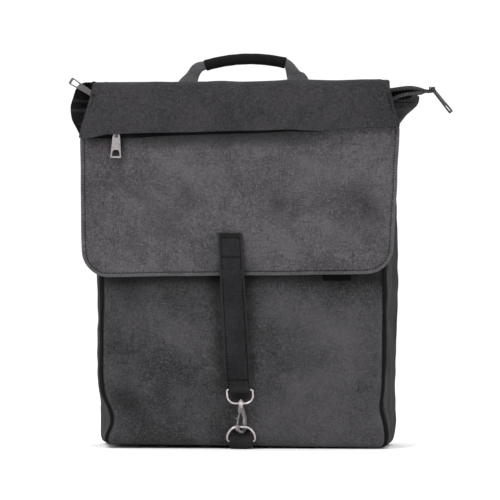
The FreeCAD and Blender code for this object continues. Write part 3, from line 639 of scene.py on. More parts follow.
# collar of the back panel, up to the rear crease
collar_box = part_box("back_panel")
rows = []
collar_columns = spread(collar_box[1].x / MM, collar_box[0].x / MM, 60)
for z in spread(collar_box[1].z / MM + 0.5, 380.0, 9):
    rows.append([(x, REAR_Y + 0.6 + 0.5 * wobble(x, z, 30, 31), z) for x in collar_columns])
collar = grid("back_collar", rows)
finish_mesh(collar, BODY, inner=LINING, thick=COLLAR_THICK)
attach(collar, "bag")

# ---- flap ----
HEM_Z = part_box("flap_front")[0].z / MM
CORNER = 29.0            # radius of the flap's lower corners
FAR_OFF = 1e9            # stands for an edge that isn't near
FLAP_Y, BAND_Y, STRAP_Y = -65.2, -72.6, -70.6        # front faces of the layers
TOP_Z, FLAP_TOP = 409.5, 402.0           # front top edge, and where the hanging front starts under it


def top_z(x):
    """Height of the front top edge, with its soft dips."""
    dips = -1.6 * bell(x, -128, 16) - 1.4 * math.exp(-(x / 18) ** 2) + 1.2 * bell(x, 60, 30)
    return TOP_Z + 0.004 * x + 1.0 * smooth(60, 140, x) + dips + 0.7 * wobble(x, 0, 30, 41)


def flap_half(side, z):
    """Half width of the hanging flap at a height."""
    if side < 0:
        profile = ((405, 165.0), (348, 179.8), (300, 179.6), (232, 178.5), (188, 176.0))
    else:
        profile = ((405, 165.0), (357, 176.4), (300, 174.0), (232, 170.0), (188, 168.5))
    for (z1, w1), (z0, w0) in zip(profile, profile[1:]):
        if z >= z0:
            t = smooth(z0, z1, z) * 0.4 + 0.6 * max(0, min(1, (z - z0) / (z1 - z0)))
            return w0 + (w1 - w0) * t + 0.5 * wobble(z, side * 9, 34, 43)
    return profile[-1][1]


def hem_z(x):
    """Height of the flap's hem along its width."""
    return HEM_Z - 6.0 + 0.012 * (x + 170) + 0.8 * wobble(x, 0, 60, 44)


FLAP_FOLDS = [(1.5, (-120, 330), (-40, 250), 8), (-1.1, (-100, 335), (-20, 262), 7),
              (1.3, (-165, 300), (-90, 225), 9),
              (-1.0, (60, 330), (20, 240), 10), (1.2, (150, 320), (90, 250), 11)]


def flap_y(x, z):
    """Front face of the hanging flap."""
    y = FLAP_Y - 0.6 * smooth(300, 210, z)
    y -= 1.6 * wobble(x, z, 78, 45) + 0.75 * wobble(x, z, 30, 46) + 0.3 * wobble(x, z, 11, 47)
    y += 2.4 * bell(x, -8, 34) * smooth(265, 205, z)
    y -= 3.4 * smooth(-120, -172, x) * smooth(250, 200, z) + 2.2 * smooth(120, 165, x) * smooth(250, 200, z)
    y += folds(x, z, FLAP_FOLDS)
    y += 4.0 * smooth(380, 402, z)
    return y


def columns():
    """Shares across the flap: even in the middle, closer at the rounded corners."""
    straight = spread(-1.0, 1.0, 84)
    bend = [math.radians(a) for a in spread(0, 90, 17)[1:]]
    left = [("left", math.sin(a)) for a in bend[::-1]]
    right = [("right", math.sin(a)) for a in bend]
    return left + [("mid", s) for s in straight] + right


def flap_grid(top):
    """Rows of (x, z, distance to the free edge) from a level down to the rounded hem."""
    cols = columns()
    rows = []
    downs = spread(0.0, 0.955, 64) + spread(0.9595, 1.0, 10)
    for v in downs:
        row = []
        for kind, s in cols:
            if kind == "mid":
                lift = 0.0
            else:
                lift = CORNER * (1 - math.sqrt(max(0.0, 1 - s * s)))
            hem_guess = {"left": -170.0, "right": 165.0}.get(kind, s * 140)
            low = hem_z(hem_guess) + lift
            z = top + (low - top) * v
            half_left, half_right = flap_half(-1, z), flap_half(1, z)
            if kind == "mid":
                x = -(half_left - CORNER) + (s + 1) / 2 * (half_left + half_right - 2 * CORNER)
            elif kind == "left":
                x = -(half_left - CORNER) - s * CORNER
            else:
                x = half_right - CORNER + s * CORNER
            side_gap = min(x + half_left, half_right - x)
            bottom_gap = z - low if kind == "mid" else (z - low) * math.sqrt(max(0.0, 1 - s * s))
            corner_gap = FAR_OFF
            zc = hem_z(hem_guess) + CORNER
            if kind != "mid" and z < zc:
                cx = -(half_left - CORNER) if kind == "left" else half_right - CORNER
                corner_gap = CORNER - math.hypot(x - cx, z - zc)
                bottom_gap = FAR_OFF
                side_gap = FAR_OFF
            row.append((x, z, max(0.0, min(side_gap, bottom_gap, corner_gap))))
        rows.append(row)
    return rows


FLAP_HEM_WIDTH = 4.4


def rolled(gap):
    """Relief of the turned edge and its stitched groove, standing out towards the front."""
    edge = 0.75 * smooth(FLAP_HEM_WIDTH + 0.4, FLAP_HEM_WIDTH - 1.4, gap)
    groove = -0.75 * bell(gap, FLAP_HEM_WIDTH, 0.9)
    return edge + groove - 0.9 * smooth(1.2, 0.0, gap)


# Painted shade along the flap's folds.
FLAP_PAINTED_SHADE = [(0.55, (-158, 308), (-62, 232), 15), (0.4, (-80, 322), (-48, 262), 9),
             (0.45, (118, 312), (158, 238), 15),
             (0.35, (20, 300), (60, 250), 12)]
# Painted light on the flap's fold ridges.
FLAP_PAINTED_LIGHT = [(0.65, (-112, 330), (-22, 292), 13), (0.5, (-150, 292), (-84, 252), 9),
             (0.5, (40, 328), (128, 300), 15),
             (0.45, (70, 262), (130, 226), 12)]


def flap_marks(x, z):
    """Painted shade and light of the waxed canvas: shade along its soft folds, under the band's hem, round
    the pocket puller and under the strap, and light on the fold ridges.
    """
    # Painted shade along the folds, and painted shadow under the band's hem.
    dark = folds(x, z, FLAP_PAINTED_SHADE) + 0.7 * smooth(331, 346, z) * smooth(150, 30, x)
    # Painted shadow round the pocket puller, and painted shade under and beside the strap.
    dark += 0.9 * bell(x, -138, 8) * bell(z, 336, 13) + 0.45 * bell(x, strap_x(z), 19) * smooth(244, 236, z)
    # Painted light on the fold ridges.
    pale = folds(x, z, FLAP_PAINTED_LIGHT)
    return pale - dark


cells = flap_grid(FLAP_TOP)
rows = [[(x, flap_y(x, z) - rolled(g), z) for x, z, g in row] for row in cells]
# Worn rims along the rolled edge, painted shade in the stitched groove, and the painted shade and light of
# flap_marks away from the edge.
wear_and_painted_light = [[smooth(2.0, 0.4, g) * (0.5 + 0.4 * wobble(x, z, 9, 48)) + 0.12 * smooth(5, 2, g)
         - 0.35 * bell(g, FLAP_HEM_WIDTH, 0.8) + flap_marks(x, z) * smooth(4, 12, g)
         for x, z, g in row] for row in cells]
flap = grid("flap_canvas_front", rows, wear_and_painted_light=wear_and_painted_light)
finish_mesh(flap, CANVAS, inner=LINING, thick=WALL_THICK)
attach(flap, "flap_drop")
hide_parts("flap_front", "flap_lining", "flap_crease")

def corner_arc(side, hem_x, angles):
    """Stitch line round one lower corner of the flap."""
    r = CORNER - FLAP_HEM_WIDTH
    cx, cz = side * (flap_half(side, HEM_Z + 12) - CORNER), hem_z(hem_x) + CORNER
    return [(cx + r * math.cos(math.radians(a)), cz + r * math.sin(math.radians(a))) for a in angles]


edge_path = [(-(flap_half(-1, z) - FLAP_HEM_WIDTH), z) for z in spread(352, HEM_Z + CORNER, 60)]
edge_path += corner_arc(-1, -170, spread(180, 270, 16)[1:])
for x in spread(-flap_half(-1, HEM_Z) + CORNER + 2, flap_half(1, HEM_Z) - CORNER - 2, 90):
    edge_path.append((x, hem_z(x) + FLAP_HEM_WIDTH))
edge_path += corner_arc(1, 165, spread(270, 360, 16)[:-1])
edge_path += [(flap_half(1, z) - FLAP_HEM_WIDTH, z) for z in spread(HEM_Z + CORNER, 355, 60)]
edge_points = [(x, flap_y(x, z) - rolled(FLAP_HEM_WIDTH) - 0.35, z) for x, z in edge_path]
seam = stitches("flap_edge_stitches", [(edge_points, FRONT)])
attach(seam, "flap_drop")


# ---- band ----
def band_hem(x):
    """Band hem: lower at the left end, gently wavy."""
    dip = 3.4 * smooth(-138, -160, x) + 2.2 * bell(x, 86, 22)
    return 350.6 + 0.027 * (x + 145) - dip + 0.5 * wobble(x, 0, 34, 51)


def band_y(x, z):
    """Front face of the band, standing off the flap at its hem."""
    y = BAND_Y + 1.2 * smooth(360, 395, z)
    y -= 1.1 * wobble(x, z, 58, 52) + 0.6 * wobble(x, z, 20, 53)
    y += 1.2 * crease(x, z, (-150, 395), (-60, 362), 8) - 1.0 * crease(x, z, (40, 400), (120, 362), 9)
    edge = min(x + flap_half(-1, z), flap_half(1, z) - x)
    return y + 3.0 * smooth(6, 0, edge)


BAND_ROUND, ROUND_SHARE = 13.0, 0.26      # radius of the band's rounded top, and its share of the rows
rows, wear_and_painted_light = [], []
for v in spread(0, 1, 44) + [1.012, 1.02]:
    row, worn = [], []
    for u in spread(-1.0, 1.0, 121):
        side = -1 if u < 0 else 1
        x_mid = u * 170
        top, low = top_z(x_mid), band_hem(x_mid)
        if v < ROUND_SHARE:
            a = v / ROUND_SHARE * math.pi / 2
            z = top - BAND_ROUND + BAND_ROUND * math.cos(a)
            fore = BAND_ROUND * math.sin(a)
            y0 = band_y(u * 164, top - BAND_ROUND)
            y = y0 + BAND_ROUND - fore
            if v == 0:
                y += 4.0
        else:
            z = top - BAND_ROUND + (low - top + BAND_ROUND) * (min(v, 1.0) - ROUND_SHARE) / (1 - ROUND_SHARE)
            y = band_y(u * 172, z)
            if v > 0.9:
                y -= 0.9 * smooth(4.0, 1.0, z - low)
            if v > 1.0:
                y += 1.0 if v < 1.015 else 2.4
                z += 0.0 if v < 1.015 else 0.6
        half = flap_half(side, z) + 0.6
        near_top = max(0.0, min(1.0, (z - top + 3.0) / 3.0))
        half -= 3.0 * (1 - math.sqrt(1 - near_top ** 2))
        row.append((u * half, y, z))
        worn.append(0.30 * smooth(0.985, 1.0, v) * (0.6 + 0.5 * wobble(x_mid, 3, 8, 55)))
    rows.append(row)
    wear_and_painted_light.append(worn)
band = grid("flap_band_cloth", rows, wear_and_painted_light=wear_and_painted_light)
finish_mesh(band, DARK, inner=LINING, thick=BAND_THICK)
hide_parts("flap_band", "band_joiner")
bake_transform(band)

BAND_SIDE = 3.6
paths = []
for side in (-1, 1):
    column = [(side * (flap_half(side, z) - BAND_SIDE), z) for z in spread(396, band_hem(side * 170) + 2, 40)]
    paths.append(([(x, band_y(x, z) - 0.1, z) for x, z in column], FRONT))
seam = stitches("band_side_stitches", paths)
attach(seam, "flap_drop")

# ---- flap roof ----
ROOF_HALF = 161.0
rows = []
profile = [(59.8, 386.0), (59.8, 391.0), (60.0, 396.0), (60.0, 401.0), (59.0, 405.2), (55.6, 408.2),
           (49.5, 409.3)]
profile += [(y, TOP_Z) for y in spread(42, -46, 24)] + [(-51.0, 409.6), (-56.0, 409.2)]
for y, z in profile[::-1]:
    row = []
    for x in spread(-1, 1, 90):
        px = x * ROOF_HALF
        # the roof sags over the open mouth, which also keeps it off the grip when the flap is lifted
        sag = bell(px, 0, 66, 4) * bell(y, 24, 22, 4)
        ripple = 1.3 * wobble(px, y, 48, 61) + 0.5 * wobble(px, y, 17, 62)
        lift = smooth(400, 406, z) * (ripple * (1 - 0.8 * sag) - 3.4 * sag - 2.0 * smooth(0.96, 1.0, abs(x)))
        lift += smooth(40, -50, y) * (top_z(px) - 408.9)
        row.append((px, y, z + lift - (1.0 if y < -45 else 0.0)))
    rows.append(row)
roof = grid("flap_roof_cloth", [row[::-1] for row in rows])
finish_mesh(roof, DARK, inner=LINING, thick=ROOF_THICK)
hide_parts("flap_top")
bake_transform(roof)


# ---- closing strap ----
def strap_half(z):
    """Half width of the strap, a little wider at its foot."""
    return 13.3 + 0.9 * smooth(240, 100, z)


def strap_face(z):
    """Front face of the strap: over the flap, then down to its fold."""
    y = STRAP_Y - 0.5 * wobble(0, z, 40, 71)
    y += 3.4 * smooth(206, 236, z) - 1.0 * bell(z, 200, 7)
    return y


rows, wear_and_painted_light = [], []
for z in [240.4, 240.0, 239.2] + spread(238, 66, 84):
    row, worn = [], []
    for s in spread(-1, 1, 22):
        crown = 0.4 * (1 - s * s)
        edge = (1 - abs(s)) * strap_half(z)
        groove = -0.45 * bell(edge, 2.6, 0.7) - 0.6 * smooth(1.0, 0, edge)
        x = strap_x(z) + s * strap_half(z) + 0.25 * wobble(z, s, 12, 72)
        row.append((x, strap_face(z) - crown - groove, z))
        band_mark = bell(z, 214, 1.5) + bell(z, 77, 1.5) + smooth(233, 236, z)
        worn.append(1.1 * smooth(1.8, 0.4, edge) - 0.5 * band_mark * smooth(1.5, 3, edge))
    rows.append(row)
    wear_and_painted_light.append(worn)
strap = grid("closing_strap_cloth", rows, wear_and_painted_light=wear_and_painted_light)
finish_mesh(strap, STRAP, thick=STRAP_THICK)
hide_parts("strap_sewn_end", "strap_free_end")
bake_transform(strap)

fold_x = strap_x(66) + 0.9
STRAP_FOLD = 2.6          # radius of the fold round the loop's bar
rows = []
for a in spread(-100, 190, 22):
    t = math.radians(a)
    y, z = -70.0 - STRAP_FOLD * math.cos(t), 66.0 - STRAP_FOLD * math.sin(t)
    rows.append([(fold_x + s * 12.1, y, z) for s in spread(-1, 1, 16)])
fold = grid("strap_fold_cloth", rows)
finish_mesh(fold, STRAP, thick=PLY_THICK, offset=CENTRED)
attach(fold, "closing_strap")


def strap_edge(side, heights):
    """Stitch path along one edge of the strap."""
    return [(strap_x(z) + side * (strap_half(z) - 2.8), strap_face(z), z) for z in heights]


def strap_bar(z, half):
    """Stitch path across the strap."""
    return [(strap_x(z) + x, strap_face(z) - 0.35, z) for x in spread(-half, half, 8)]


rows = [(strap_edge(side, spread(236, 199, 30)), FRONT) for side in (-1, 1)]
inset = strap_half(236) - 3.0
rows += [(strap_bar(z, inset), FRONT) for z in (235.5, 214.0)]
seam = stitches("strap_top_stitches", rows)
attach(seam, "flap_drop")
rows = [(strap_edge(side, spread(190, 68, 60)), FRONT) for side in (-1, 1)]
rows.append((strap_bar(77, 11), FRONT))
seam = stitches("strap_edge_stitches", rows)
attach(seam, "closing_strap")

# ---- label, a blank tab under the hem ----
low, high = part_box("label_tab")
rows = []
for v in spread(0, 1, 14):
    z = high.z / MM + 2 - v * (high.z - low.z + 0.002) / MM
    rise = 0.8 * math.sin(math.pi * v)
    rows.append([(x, flap_y(x, 197) + 1.0 - rise, z + 0.6) for x in spread(low.x / MM - 5, high.x / MM - 1,
                                                                           16)])
label = grid("label_blank", rows)
finish_mesh(label, LABEL, thick=TAPE_THICK)
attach(label, "flap_drop")
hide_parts("label_tab")


# ---- zips ----
COIL_PITCH = 1.7


def teeth(name, path, facing, body, node):
    """Row of moulded coil loops along a path, both sides of the closing line."""
    points, faces = [], []
    up = Vector(facing)
    for number, (centre, d) in enumerate(resample(path, COIL_PITCH)):
        side = d.cross(up).normalized()
        lean = 0.45 if number % 2 else -0.45
        b = len(points)
        for a, h in ((-0.55, -0.5), (0.55, -0.5), (0.55, 0.5), (-0.55, 0.5)):
            for w in (-1.5, 1.5):
                grow = 1.0 if h < 0 else 0.7
                p = centre + d * (a * grow) + side * (w * grow + lean)
                points.append(tuple(p + up * (h * 1.3 + 0.3)))
        faces += [(b, b + 2, b + 3, b + 1), (b + 2, b + 4, b + 5, b + 3), (b + 4, b + 6, b + 7, b + 5),
                  (b + 6, b, b + 1, b + 7),
                  (b, b + 6, b + 4, b + 2), (b + 1, b + 3, b + 5, b + 7)]
    obj = mesh_object(name, points, faces, [(p[0] * MM, p[2] * MM) for p in points])
    finish_mesh(obj, COIL)
    obj.data.polygons.foreach_set("use_smooth", [False] * len(obj.data.polygons))
    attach(obj, body)
    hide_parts(*node)
    return obj


low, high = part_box("flap_zip_tape")


def shadow_strip_low(x):
    """Lower edge of the black strip under the band's hem: the pocket's opening, dropped further from the left
    end to the middle and most near the slider, as a painted shadow under the hem.
    """
    shadow_drop = 2.8 * smooth(-160, -142, x) * smooth(110, 10, x) + 1.6 * bell(x, -118, 30)
    return band_hem(x) - 0.4 - shadow_drop


# The pocket's zip tape, widened past the real tape at both ends and reaching down to that edge: partly the
# real black tape, partly a dark sheet that paints the shadow under the band's hem.
rows = []
for v in spread(0, 1, 8):
    row = []
    for x in spread(low.x / MM - 14, high.x / MM + 20, 120):
        z = high.z / MM + (shadow_strip_low(x) - high.z / MM) * v
        row.append((x, flap_y(x, z) - 1.2, z))
    rows.append(row)
tape = grid("pocket_zip_tape_shadow_strip", rows)
finish_mesh(tape, TAPE, thick=TAPE_THICK)
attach(tape, "flap_drop")
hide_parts("flap_zip_tape")
coil_low, coil_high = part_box("flap_zip_coil")
coil_z = (coil_low.z + coil_high.z) / 2 / MM
COIL_COVER = 2.0          # how far the coil lies above the band's hem
coil_path = [(x, max(coil_z, band_hem(x) + COIL_COVER)) for x in spread(coil_low.x / MM, coil_high.x / MM,
                                                                        80)]
teeth("pocket_zip_coil", [(x, flap_y(x, z) - 2.0, z) for x, z in coil_path],
      FRONT, "flap_drop", ["flap_zip_coil"])

MOUTH_FAR, MOUTH_NEAR, MOUTH_Z = 30.0, 2.6, 398.4


def mouth_y(x):
    """Distance of one zip edge from the middle of the mouth."""
    return MOUTH_NEAR + (MOUTH_FAR - MOUTH_NEAR) * smooth(150, 124, abs(x))


MOUTH_CLOTHS = (("front", -1, -157.5, -40.0, -30.0), ("rear", 1, -168.5, 49.5, 40.0))
for name, side, start, open_rim, closed_rim in MOUTH_CLOTHS:
    rows = []
    for v in spread(0, 1, 12):
        row = []
        for x in spread(start, 160, 112):
            rim = open_rim if abs(x) < 146 else closed_rim
            y = side * mouth_y(x) + (rim - side * mouth_y(x)) * v ** 1.3
            z = MOUTH_Z - 1.0 - (MOUTH_Z - 374.0) * v ** 1.8 + 0.6 * wobble(x, v * 20, 30, 81)
            z -= 2.4 * smooth(142, 154, abs(x)) * (1 - v)
            row.append((x, y, z))
        rows.append(row if side < 0 else row[::-1])
    facing = grid(f"mouth_cloth_{name}", rows)
    finish_mesh(facing, GUSSET, inner=LINING, thick=PLY_THICK)
    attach(facing, "bag")
    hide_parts(f"zip_tape_{name}", f"mouth_facing_{name}")
    teeth(f"mouth_coil_{name}", [(x, side * mouth_y(x), MOUTH_Z - 0.4) for x in spread(-168.5, 160, 92)],
          UP,
          "bag", [f"zip_coil_{name}"])


def curve_through(path, parts=6):
    """Smooth path through given points."""
    fine = []
    for i in range(len(path) - 1):
        p = [Vector(path[max(i - 1, 0)]), Vector(path[i]), Vector(path[i + 1]),
             Vector(path[min(i + 2, len(path) - 1)])]
        bend, twist = 2 * p[0] - 5 * p[1] + 4 * p[2] - p[3], 3 * p[1] - p[0] - 3 * p[2] + p[3]
        for t in spread(0, 1, parts + 1)[:-1]:
            fine.append(0.5 * (2 * p[1] + (p[2] - p[0]) * t + bend * t * t + twist * t ** 3))
    fine.append(Vector(path[-1]))
    return fine


def strip(name, path, y0, y1, thick, material, body, nodes, drop):
    """Band of cloth along a smooth path seen from the front; its front edge hangs lower by drop."""
    fine = curve_through(path)
    rows, worn = [], []
    for x, z in fine:
        row = []
        for y in spread(y0, y1, 16):
            n = 0.5 * wobble(y, x + z, 13, 91)
            row.append((x + n, y, z + n * 0.5 - drop * (y1 - y) / (y1 - y0) * smooth(206, 198, x)))
        rows.append(row)
        worn.append([0.4 * smooth(1.6, 0.0, min(y - y0, y1 - y)) for y in spread(y0, y1, 16)])
    obj = grid(name, rows, wear_and_painted_light=worn)
    finish_mesh(obj, material, inner=material, thick=thick, offset=CENTRED)
    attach(obj, body)
    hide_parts(*nodes)
    seams = []
    for y in (y0 + 2.4, y1 - 2.4):
        fall = drop * (y1 - y) / (y1 - y0)
        seams.append(([(x, y, z - fall * smooth(206, 198, x)) for x, z in fine], (0.2, -0.3, 0.9)))
    row = stitches(name + "_stitches", seams, lift=thick / 2 + 0.1)
    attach(row, body)


tail_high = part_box("zip_tail_rear")[1]
END_X, END_Z = tail_high.x / MM, tail_high.z / MM - 0.6
strip("zip_tail_upper", [(150, 399.0), (167, 401.8), (180, 403.6), (189, 403.6), (197, 402.2),
                         (END_X - 3, END_Z + 1.4), (END_X, END_Z + 0.7)],
      1.2, 13.0, HEAVY_PLY, DARK, "bag", ["zip_tail_rear"], drop=3.0)
strip("zip_tail_lower", [(156, 387), (167, 391.5), (176, 394.8), (186, 397.0), (195, 397.6),
                         (END_X - 4, END_Z - 0.6), (END_X, END_Z - 0.5)],
      -13.0, -1.2, HEAVY_PLY, BODY, "bag", ["zip_tail_front"], drop=2.4)


rows = []
for v in spread(0, 1, 5):
    row = []
    for x in spread(158, END_X + 5, 30):
        high_edge = 398.8 + 3.4 * smooth(150, 185, x) - 2.6 * smooth(190, END_X, x)
        low_edge = 387.5 + 9.5 * smooth(150, 196, x)
        row.append((x, 9.0 + 0.5 * wobble(x, v, 9, 131), high_edge + (low_edge - high_edge) * v))
    rows.append(row)
liner = grid("zip_tail_liner", rows)
finish_mesh(liner, TAPE, thick=LINER_THICK)
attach(liner, "bag")


def wing(name, side, inner, outer, y0, y1, top_dip, material, node):
    """Open-topped fold of the gusset beside the flap: a flattened funnel that closes at its foot."""
    ring = 40
    rows, worn = [], []
    fine = curve_through(outer, 7)
    levels = [p.y for p in fine]
    for index, p in enumerate(fine):
        near = inner + 10.0 * smooth(395, 407, p.y)
        half = max(0.6, (p.x - near) / 2)
        centre = near + half
        share = (levels[0] - p.y) / (levels[0] - levels[-1])
        deep = (y1 - y0) / 2 * (1 - 0.75 * share ** 2)
        row = []
        for k in range(ring):
            a = 2 * math.pi * k / ring
            ca, sa = math.cos(a), math.sin(a)
            x = centre - half * bulged(ca, 0.85)
            y = (y0 + y1) / 2 - deep * bulged(sa, 0.8)
            n = 1.1 * wobble(x, p.y, 12, 101) + 0.6 * wobble(y, p.y, 9, 102)
            fold = 2.4 * bell(p.y, levels[0] - 24, 3.0) * math.sin(a)
            dip = top_dip * smooth(0.45, 0.0, share) * max(0.0, sa) ** 0.7
            row.append((side * (x + n * 0.5), y + n + fold, p.y - dip))
        rows.append(row if side > 0 else row[::-1])
        line = bell(p.y, levels[0] - 32, 1.6) + 0.7 * bell(p.y, levels[0] - 19, 1.8)
        worn.append([0.6 if index == 0 else 1.2 * line] * ring)
    obj = grid(name, rows, closed=True, wear_and_painted_light=worn)
    finish_mesh(obj, material, inner=LINING, thick=HEAVY_PLY)
    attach(obj, "bag")
    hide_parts(node)
    level = levels[0] - top_dip - 3.0
    half = (min(fine, key=lambda p: abs(p.y - level)).x - inner) / 2
    path = []
    for a in spread(0.25, math.pi - 0.25, 24):
        x = inner + half - (half - 0.4) * bulged(math.cos(a), 0.85)
        path.append((side * x, (y0 + y1) / 2 - (y1 - y0) / 2 * math.sin(a) ** 0.8 - 1.2, level))
    seam = stitches(name + "_stitches", [(path, FRONT)])
    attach(seam, "bag")


wing("wing_right_cloth", 1, 158.0, [(189.0, 397.0), (195.5, 393.5), (196.6, 390), (194.2, 384),
                                    (188.8, 377.6), (181.6, 371.2),
                                   (176.0, 364.5), (171.5, 357.5), (167, 350)], 14.0, 46.0, 8.0, DARK,
                                   "wing_right")
# The left wing takes the painted-shade canvas.
wing("wing_left_cloth", -1, 158.0, [(181.0, 409.0), (189.0, 405.8), (193.0, 398.5), (196.6, 388),
                                    (198.0, 377), (196.0, 366),
                                   (190.5, 355), (184.6, 343), (179, 336)], 6.0, 44.0, 7.0, WING_CANVAS_SHADED,
                                   "wing_left")


# ---- carry handle ----
HANDLE_SHIFT = -1.8
GRIP_HALF, GRIP_Y, GRIP_Z = 45.5, 66.0, 435.4
LEG_EDGES = {
    -1: ([(77, 338), (77, 384), (77, 398), (77.2, 409), (67.4, 419.5), (61.8, 427.4), (56, 431.4),
          (48.2, 433), (41, 433.4)],
         [(50, 338), (50, 384), (53, 398), (54.6, 409), (52.8, 416), (50.6, 420), (48.7, 422),
          (46.5, 422.8), (41, 424)]),
    1: ([(77, 338), (77, 384), (75, 398), (71.8, 411), (69.8, 415.4), (66.4, 419.4), (61.4, 421.8),
         (58.2, 425.6),
         (52.2, 432.4), (45, 436.6), (40, 437)],
        [(50, 338), (50, 384), (48.6, 398), (47.6, 409), (46.8, 414), (46.0, 418), (45.4, 421), (45.0, 423.5),
         (44.4, 425.2), (43, 426), (39.5, 427)])}


def leg(name, side):
    """Webbing leg between two edges, flat on the back panel and rolled together where it enters the grip."""
    outer, inner = (curve_through([Vector((x, z, 0)) for x, z in edge], 5) for edge in LEG_EDGES[side])
    stations = []
    for a, b in zip(outer, inner):
        x, z = (a.x + b.x) / 2, (a.y + b.y) / 2
        apart = Vector((side * (a.x - b.x), 0, a.y - b.y))
        y = 58.3 + 7.8 * smooth(382, 398, z)
        thick = 1.8 + 3.4 * smooth(412, 432, z) + 0.25 * wobble(x, z, 7, 95 + side)
        centre = (side * x + HANDLE_SHIFT * smooth(384, 404, z), y, z)
        stations.append((centre, apart.length / 2, thick, apart.normalized(), Vector((0, side, 0))))
    obj = tube(name, stations, 0.42, ring=28)
    finish_mesh(obj, LEG)
    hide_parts(f"handle_leg_{'left' if side < 0 else 'right'}",
                f"handle_patch_{'left' if side < 0 else 'right'}")
    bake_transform(obj)
    rows = []
    middle, half, low, high = 63.5, 10.8, 342, 376
    for sx in (-half, half):
        rows.append(([(side * middle + sx, 60.3, z) for z in spread(low, high, 14)], BACK))
    for z in (low, high):
        rows.append(([(side * middle + x, 60.4, z) for x in spread(-half, half, 8)], BACK))
    for flip in (-1, 1):
        cross = []
        for z in spread(low, high, 14):
            cross.append((side * middle + flip * half * (2 * (z - low) / (high - low) - 1), 60.4, z))
        rows.append((cross, BACK))
    seam = stitches(name + "_stitches", rows)
    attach(seam, "bag")


leg("handle_leg_left_web", -1)
leg("handle_leg_right_web", 1)

stations = []
for s in spread(-1, 1, 46):
    x = s * GRIP_HALF
    z = GRIP_Z - 6.0 * s * s + 1.4 * s
    slope = (-13.2 * s + 1.6) / GRIP_HALF
    way = Vector((1, 0, slope)).normalized()
    rim = 0.05 * smooth(0.93, 0.97, abs(s)) - 0.05 * smooth(0.985, 1.0, abs(s))
    fat = 1.0 + rim + 0.03 * wobble(x, 0, 8, 97)
    centre = (x + HANDLE_SHIFT - 0.4, GRIP_Y, z)
    stations.append((centre, 6.3 * fat, 6.1 * fat, Vector((-way.z, 0, way.x)), Vector(FRONT)))
grip = tube("handle_grip_wrap", stations, 0.8, ring=28)
finish_mesh(grip, GRIP)
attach(grip, "carry_handle")
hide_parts("handle_grip")

# ---- shoulder strap ----
web_low, web_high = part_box("shoulder_webbing")
SHOULDER_X, STEEPNESS = 126.0, 46.5
reach = STEEPNESS * math.sinh(SHOULDER_X / STEEPNESS)
LOW_Z = web_low.z / MM + 1.3
HANG_Y = (web_low.y + web_high.y) / 2 / MM
RING_Y = 64.0
TWIST = 42.0
points = []
for s in spread(-1, 1, 170):
    x = STEEPNESS * math.asinh(reach * s / STEEPNESS)
    z = LOW_Z + STEEPNESS * (math.cosh(x / STEEPNESS) - 1)
    points.append((x, z, reach * (1 - abs(s)), math.sinh(x / STEEPNESS)))
rows = []
for x, z, gap, slope in points:
    n = Vector((-slope, 0, 1)).normalized()
    turned = smooth(0, TWIST, gap)
    phi = math.pi / 2 * turned
    flip = 1 if x > 0 else -1
    wide = n * (math.cos(phi) * -flip) + Vector((0, math.sin(phi), 0))
    face = n * math.sin(phi) + Vector((0, math.cos(phi), 0)) * flip
    centre = Vector((x, RING_Y + (HANG_Y - RING_Y) * turned, z))
    row = []
    for w in spread(-1, 1, 20):
        d = 0.7 * wobble(gap * flip, w * 10, 60, 99) + 0.5 * (1 - w * w) - 0.35 * bell(abs(w), 0.86, 0.05)
        row.append(tuple(centre + wide * (w * (19.0 - 1.5 * (1 - turned))) + face * d))
    rows.append(row)
web = grid("shoulder_strap_web", rows)
finish_mesh(web, STRAP, thick=WEB_THICK, offset=CENTRED)
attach(web, "shoulder_strap")
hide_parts("shoulder_webbing")


def rods(name, runs, radius, material):
    """One mesh of round bars between pairs of points, with rounded ends."""
    points, faces = [], []
    ring = 12
    for start, end in runs:
        a, b = Vector(start), Vector(end)
        way = (b - a).normalized()
        side = way.cross(Vector((1, 0, 0))).normalized()
        up = side.cross(way)
        near = [(-radius, 0.3), (-radius * 0.7, 0.75), (0.0, 1.0)]
        shape = near + [((b - a).length - t, w) for t, w in near[::-1]]
        faces += capped_rings(len(points), len(shape), ring)
        for along, size in shape:
            for k in range(ring):
                turn = 2 * math.pi * k / ring
                outwards = side * math.cos(turn) + up * math.sin(turn)
                points.append(tuple(a + way * along + outwards * (radius * size)))
    return finish_mesh(mesh_object(name, points, faces), material)


low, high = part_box("strap_adjuster")
near_y, far_y = low.y / MM + 1.9, high.y / MM - 1.9
low_z, high_z = low.z / MM + 2, high.z / MM - 2
middle_z = (low_z + high_z) / 2


def web_x(z, off=0.0):
    """Place of the webbing's left run at a height, moved off its face."""
    height = (z - LOW_Z) / STEEPNESS + 1
    return -STEEPNESS * math.acosh(height) - off


rungs = [(web_x(z, off), z) for z, off in ((low_z, 2.6), (middle_z, -2.6), (high_z, 2.6))]
bars = [((x, near_y, z), (x, far_y, z)) for x, z in rungs]
for y in (near_y, far_y):
    for (x0, z0), (x1, z1) in zip(rungs, rungs[1:]):
        bars.append(((x0, y, z0), (x1, y, z1)))
adjuster = rods("strap_adjuster_frame", bars, 1.9, ACETAL)
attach(adjuster, "shoulder_strap")
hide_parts("strap_adjuster")


def wrap(name, path, x0, x1, thick, body, node, stitch_z=None):
    """Webbing folded round a bar that runs along X, from a path seen from the side."""
    fine = curve_through(path, 5)
    rows = [[(x, y + 0.25 * wobble(x, z, 9, 111), z) for x in spread(x0, x1, 14)] for y, z in fine]
    obj = grid(name, rows)
    finish_mesh(obj, STRAP, thick=thick, offset=CENTRED)
    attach(obj, body)
    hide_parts(node)
    if stitch_z:
        y, z = stitch_z
        seam = stitches(name + "_stitches", [([(x0 + 2, y, z), (x1 - 2, y, z)], BACK)])
        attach(seam, body)


